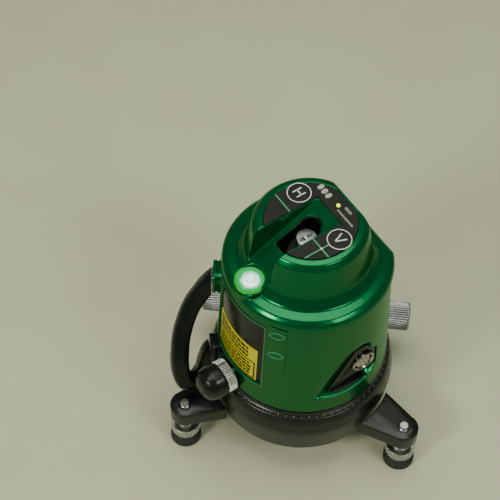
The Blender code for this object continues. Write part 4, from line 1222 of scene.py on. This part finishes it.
def make_bush():
    """The tripod bush: a brass socket with an inner thread."""
    low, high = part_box("tripod_bush")
    outer, ceiling = 0.0131, high.z - 0.0020
    wall = [(0, high.z, 0), (outer, high.z, 0), (outer, low.z, 0.0004), (0.0088, low.z, 0.0003)]
    for k in range(9):
        z = low.z + 0.0008 + 0.0011 * k
        wall += [(0.0084, z, 0.0001), (0.0078, z + 0.00055, 0.0001)]
    wall += [(0.0079, ceiling, 0), (0, ceiling, 0)]
    finish(turned("threaded_bush", wall, 64, ease=2), "base", "brass", "brass", "tripod_bush")


def make_legs():
    for k in (1, 2, 3):
        foot = centre(f"foot_pad_{k}")
        reach = math.hypot(foot.x, foot.y)
        place = Matrix.Rotation(math.atan2(foot.y, foot.x), 4, "Z")
        low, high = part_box(f"leg_arm_{k}")
        tip = arc(0.0114, -math.pi / 2, math.pi / 2, 20, (reach, 0))
        outline = [(0.0600, -0.0188), (0.0700, -0.0172), *tip, (0.0700, 0.0172), (0.0600, 0.0188)]
        arm = prism(f"leg_{k}_casting", outline, low.z, high.z, 0.0022, place, 35, 4)
        boolean(arm, drum("keep", HOUSING_R + 0.0004, 0.01, 0.09, 128))
        boolean(arm, drum("bore", 0.0046, 0.01, 0.09, 32, place @ at(reach, 0)))
        finish(resmooth(arm, 40), "base", "black", "black_plastic", f"leg_arm_{k}")
        make_foot(k, at(foot.x, foot.y))
        make_levelling_screw(k, at(foot.x, foot.y))


def make_foot(k, stand):
    """A rubber foot with a groove round it and a collar on top."""
    top, r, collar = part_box(f"foot_pad_{k}")[1].z, half_width(f"foot_pad_{k}"), 0.0042
    profile = [(0, 0, 0), (r - 0.0008, 0, 0.0004), (r, 0.0008, 0.0005), (r, 0.0024, 0.0003),
               (r - 0.0006, 0.0028, 0.0002), (r - 0.0006, 0.0034, 0.0002), (r, 0.0038, 0.0003),
               (r, 0.0058, 0.0012), (0.0085, top, 0.0010), (collar, top, 0.0003), (collar, 0.0062, 0),
               (0, 0.0062, 0)]
    finish(turned(f"foot_{k}_pad", profile, 64, stand), f"foot_{k}", "rubber", "rubber", f"foot_pad_{k}")


def make_levelling_screw(k, stand):
    """A threaded rod with a fluted wheel near its foot."""
    low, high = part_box(f"levelling_screw_{k}")
    crest, root, bore, pitch = 0.0038, 0.0034, 0.0030, 0.0010
    thread_low, thread_high = 0.0225, high.z - 0.0012
    profile = [(0, low.z), (0.0032, low.z), (crest, 0.0090)]
    for n in range(int((thread_high - thread_low) / pitch)):
        z = thread_low + n * pitch
        profile += [(crest, z), (crest, z + 0.0002), (root, z + 0.0005), (root, z + 0.0007)]
    profile += [(crest, thread_high), (bore, high.z), (0, high.z)]
    rod = revolve("rod", profile, 28, stand)
    foot, head, r = 0.0125, 0.0210, 0.0115
    profile = [(bore, foot, 0), (r - 0.0010, foot, 0.0004), (r, foot + 0.0010, 0.0006),
               (r, foot + 0.0025, 0), (r, head - 0.0025, 0), (r, head - 0.0010, 0.0006),
               (r - 0.0010, head, 0.0005), (0.0062, head, 0.0003), (0.0058, head + 0.0012, 0.0004),
               (bore, head + 0.0012, 0)]
    flutes = fluted(24, 0.0009, foot + 0.0005, head - 0.0004, 1.4)
    wheel = turned("wheel", profile, 288, stand, wave=flutes, smooth=60)
    finish(join(f"foot_{k}_screw", [rod, wheel]), f"screw_{k}", "silver", "satin_silver",
           f"levelling_screw_{k}")


# ---------------------------------------------------------------- back of the body

def on_back(z):
    """Places a shape made in the XZ plane on the leaning flat back, at a height."""
    return at(0, body_flat(z), z) @ Matrix.Rotation(-FLAT_LEAN, 4, "X")


def make_door():
    low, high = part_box("battery_door")
    place, middle = on_back(high.z), (low.z - high.z) / 2
    outline = rounded_box(high.x, -middle, 0.0022, 6, (0, middle))
    rings = [[(x, -depth, z) for x, z in outline] for depth in (0.0021, 0.0006)]
    rings.append([(x * 0.992, -0.0002, middle + (z - middle) * 0.994) for x, z in outline])
    finish(loft("door_panel", rings, place), "door", "green", "body_green", "battery_door")
    ribs = []
    for k in range(5):
        outline = rounded_box(0.0150, 0.0007, 0.0006, 4, (0, -0.012 - 0.0045 * k))
        ribs.append(slab("rib", outline, -0.0004, 0.0004, "y", place))
    finish(join("door_ribs", ribs), "door", "green", "body_green")


def make_catch():
    """The door's slider with three ridges for a finger."""
    low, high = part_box("door_catch")
    place = on_back((low.z + high.z) / 2)
    outline = rounded_box(high.x, (high.z - low.z) / 2, 0.0012, 5)
    steps = ((0.0002, 1.0), (0.0010, 1.0), (0.0014, 0.94), (0.0015, 0.86))
    rings = [[(x * share, out, z * share) for x, z in outline] for out, share in steps]
    parts = [loft("slider", rings, place)]
    for k in range(3):
        outline = rounded_box(0.0050, 0.0004, 0.0003, 3, (0, -0.0016 + 0.0016 * k))
        parts.append(slab("ridge", outline, 0.0010, 0.0019, "y", place))
    finish(join("catch_slider", parts), "catch", "black", "black_plastic", "door_catch")


# ---------------------------------------------------------------- laser module

def make_module():
    """The top of the hanging laser module: a barrel with a slot, a screw and the line lens, its white a
    painted glint along the glass rod.
    """
    low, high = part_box("laser_module_top")
    middle, r, top = (low + high) / 2, half_width("laser_module_top"), high.z
    place = at(middle.x, middle.y)
    profile = [(0, low.z, 0), (r, low.z, 0), (r, top - 0.0012, 0.0003), (r - 0.0008, top, 0.0005),
               (0.0010, top, 0), (0, top, 0)]
    barrel = turned("module_barrel", profile, 72, place)
    boolean(barrel, slab("slot", rounded_box(0.0014, 0.0060, 0.0013), top - 0.0030, top + 0.01, "z", place))
    screw = rounded_box(0.0012, 0.0012, 0.0011, 6, (0.0050, 0.0012))
    boolean(barrel, slab("screw_well", screw, top - 0.0012, top + 0.01, "z", place))
    finish(resmooth(barrel, 40), "pendulum", "steel", "nickel", "laser_module_top")
    # the glass rod lens is painted white as a glint along it
    lens_place = place @ at(0, -0.0005, top - 0.0010) @ Matrix.Rotation(math.pi / 2, 4, "Y")
    half, r = 0.0022, 0.0009
    profile = [(0, -half, 0), (r, -half, 0.0002), (r, half, 0.0002), (0, half, 0)]
    finish(turned("line_lens_painted_glint", profile, 24, lens_place, 3), "pendulum", "print_white", "nickel")


# ---------------------------------------------------------------- stage

AIM = (-0.0295, -0.0292, SEAM)    # the camera looks here, from this direction and distance
AZIMUTH = math.radians(-35.0)
ELEVATION = math.radians(54.62)
ROLL = math.radians(1.35)
DISTANCE = 1.060


def make_camera():
    """The camera as it was fitted to the photo, tipped a little to one side."""
    toward = Vector((math.cos(ELEVATION) * math.cos(AZIMUTH), math.cos(ELEVATION) * math.sin(AZIMUTH),
                     math.sin(ELEVATION)))
    level = Vector((0, 0, 1)).cross(toward).normalized()
    upward = toward.cross(level)
    right = level * math.cos(ROLL) + upward * math.sin(ROLL)
    up = toward.cross(right)
    data = bpy.data.cameras.new("camera")
    data.lens = 108
    data.sensor_width = 36
    camera = bpy.data.objects.new("camera", data)
    bpy.context.scene.collection.objects.link(camera)
    spot = Vector(AIM) + toward * DISTANCE
    camera.matrix_world = Matrix.Translation(spot) @ Matrix((right, up, toward)).transposed().to_4x4()
    bpy.context.scene.camera = camera


def make_light(name, azimuth, elevation, distance, size, power, colour):
    """A rectangular lamp that looks at the middle of the instrument from a direction in degrees."""
    data = bpy.data.lights.new(name, "AREA")
    data.shape = "RECTANGLE"
    data.size, data.size_y = size
    data.energy = power
    data.color = colour
    lamp = bpy.data.objects.new(name, data)
    bpy.context.scene.collection.objects.link(lamp)
    turn, rise = math.radians(azimuth), math.radians(elevation)
    away = Vector((math.cos(rise) * math.cos(turn), math.cos(rise) * math.sin(turn), math.sin(rise)))
    lamp.location = Vector((0, 0, 0.15)) + away * distance
    lamp.rotation_euler = away.to_track_quat("Z", "Y").to_euler()


def make_stage():
    """A plain card floor, a dim even room and three soft lamps."""
    size = 3.0
    floor = make("floor", [(-size, -size, 0), (size, -size, 0), (size, size, 0), (-size, size, 0)],
                 [(0, 1, 2, 3)])
    floor.data.materials.append(shade("floor_card", (0.54, 0.56, 0.38), (0.57, 0.59, 0.41), (0.7, 0.85), 9.0,
                                      500.0, 0.00005))
    world = bpy.data.worlds.new("studio")
    world.use_nodes = True
    background = world.node_tree.nodes["Background"]
    background.inputs["Color"].default_value = (0.80, 0.85, 0.74, 1.0)
    background.inputs["Strength"].default_value = 0.20
    bpy.context.scene.world = world
    make_light("key", -80, 38, 1.3, (0.30, 0.22), 7.0, (1.0, 0.98, 0.88))
    make_light("fill", 12, 44, 1.5, (0.55, 0.35), 6.0, (0.97, 1.0, 0.92))
    make_light("overhead", 145, 84, 1.35, (1.0, 0.9), 13.0, (1.0, 1.0, 0.90))


def dress_frame():
    """Gives every CAD node that still shows its slot's material."""
    slots = {entry["node"]: entry["material_slot"] for entry in frame["record"]["subparts"]}
    for name, thing in frame["nodes"].items():
        material = look[SLOT_LOOK[slots[name]]]
        if not thing.material_slots:
            thing.data.materials.append(material)
        for slot in thing.material_slots:
            slot.material = material


def main():
    dress_frame()
    make_cap()
    make_deck()
    make_keys()
    make_led()
    make_vial()
    make_shell()
    make_panel()
    make_grip()
    make_connector()
    make_handle()
    make_lock_knob()
    make_fine_knobs()
    make_base()
    make_legs()
    make_door()
    make_catch()
    make_module()
    make_camera()
    make_stage()


main()
bpy.context.view_layer.update()
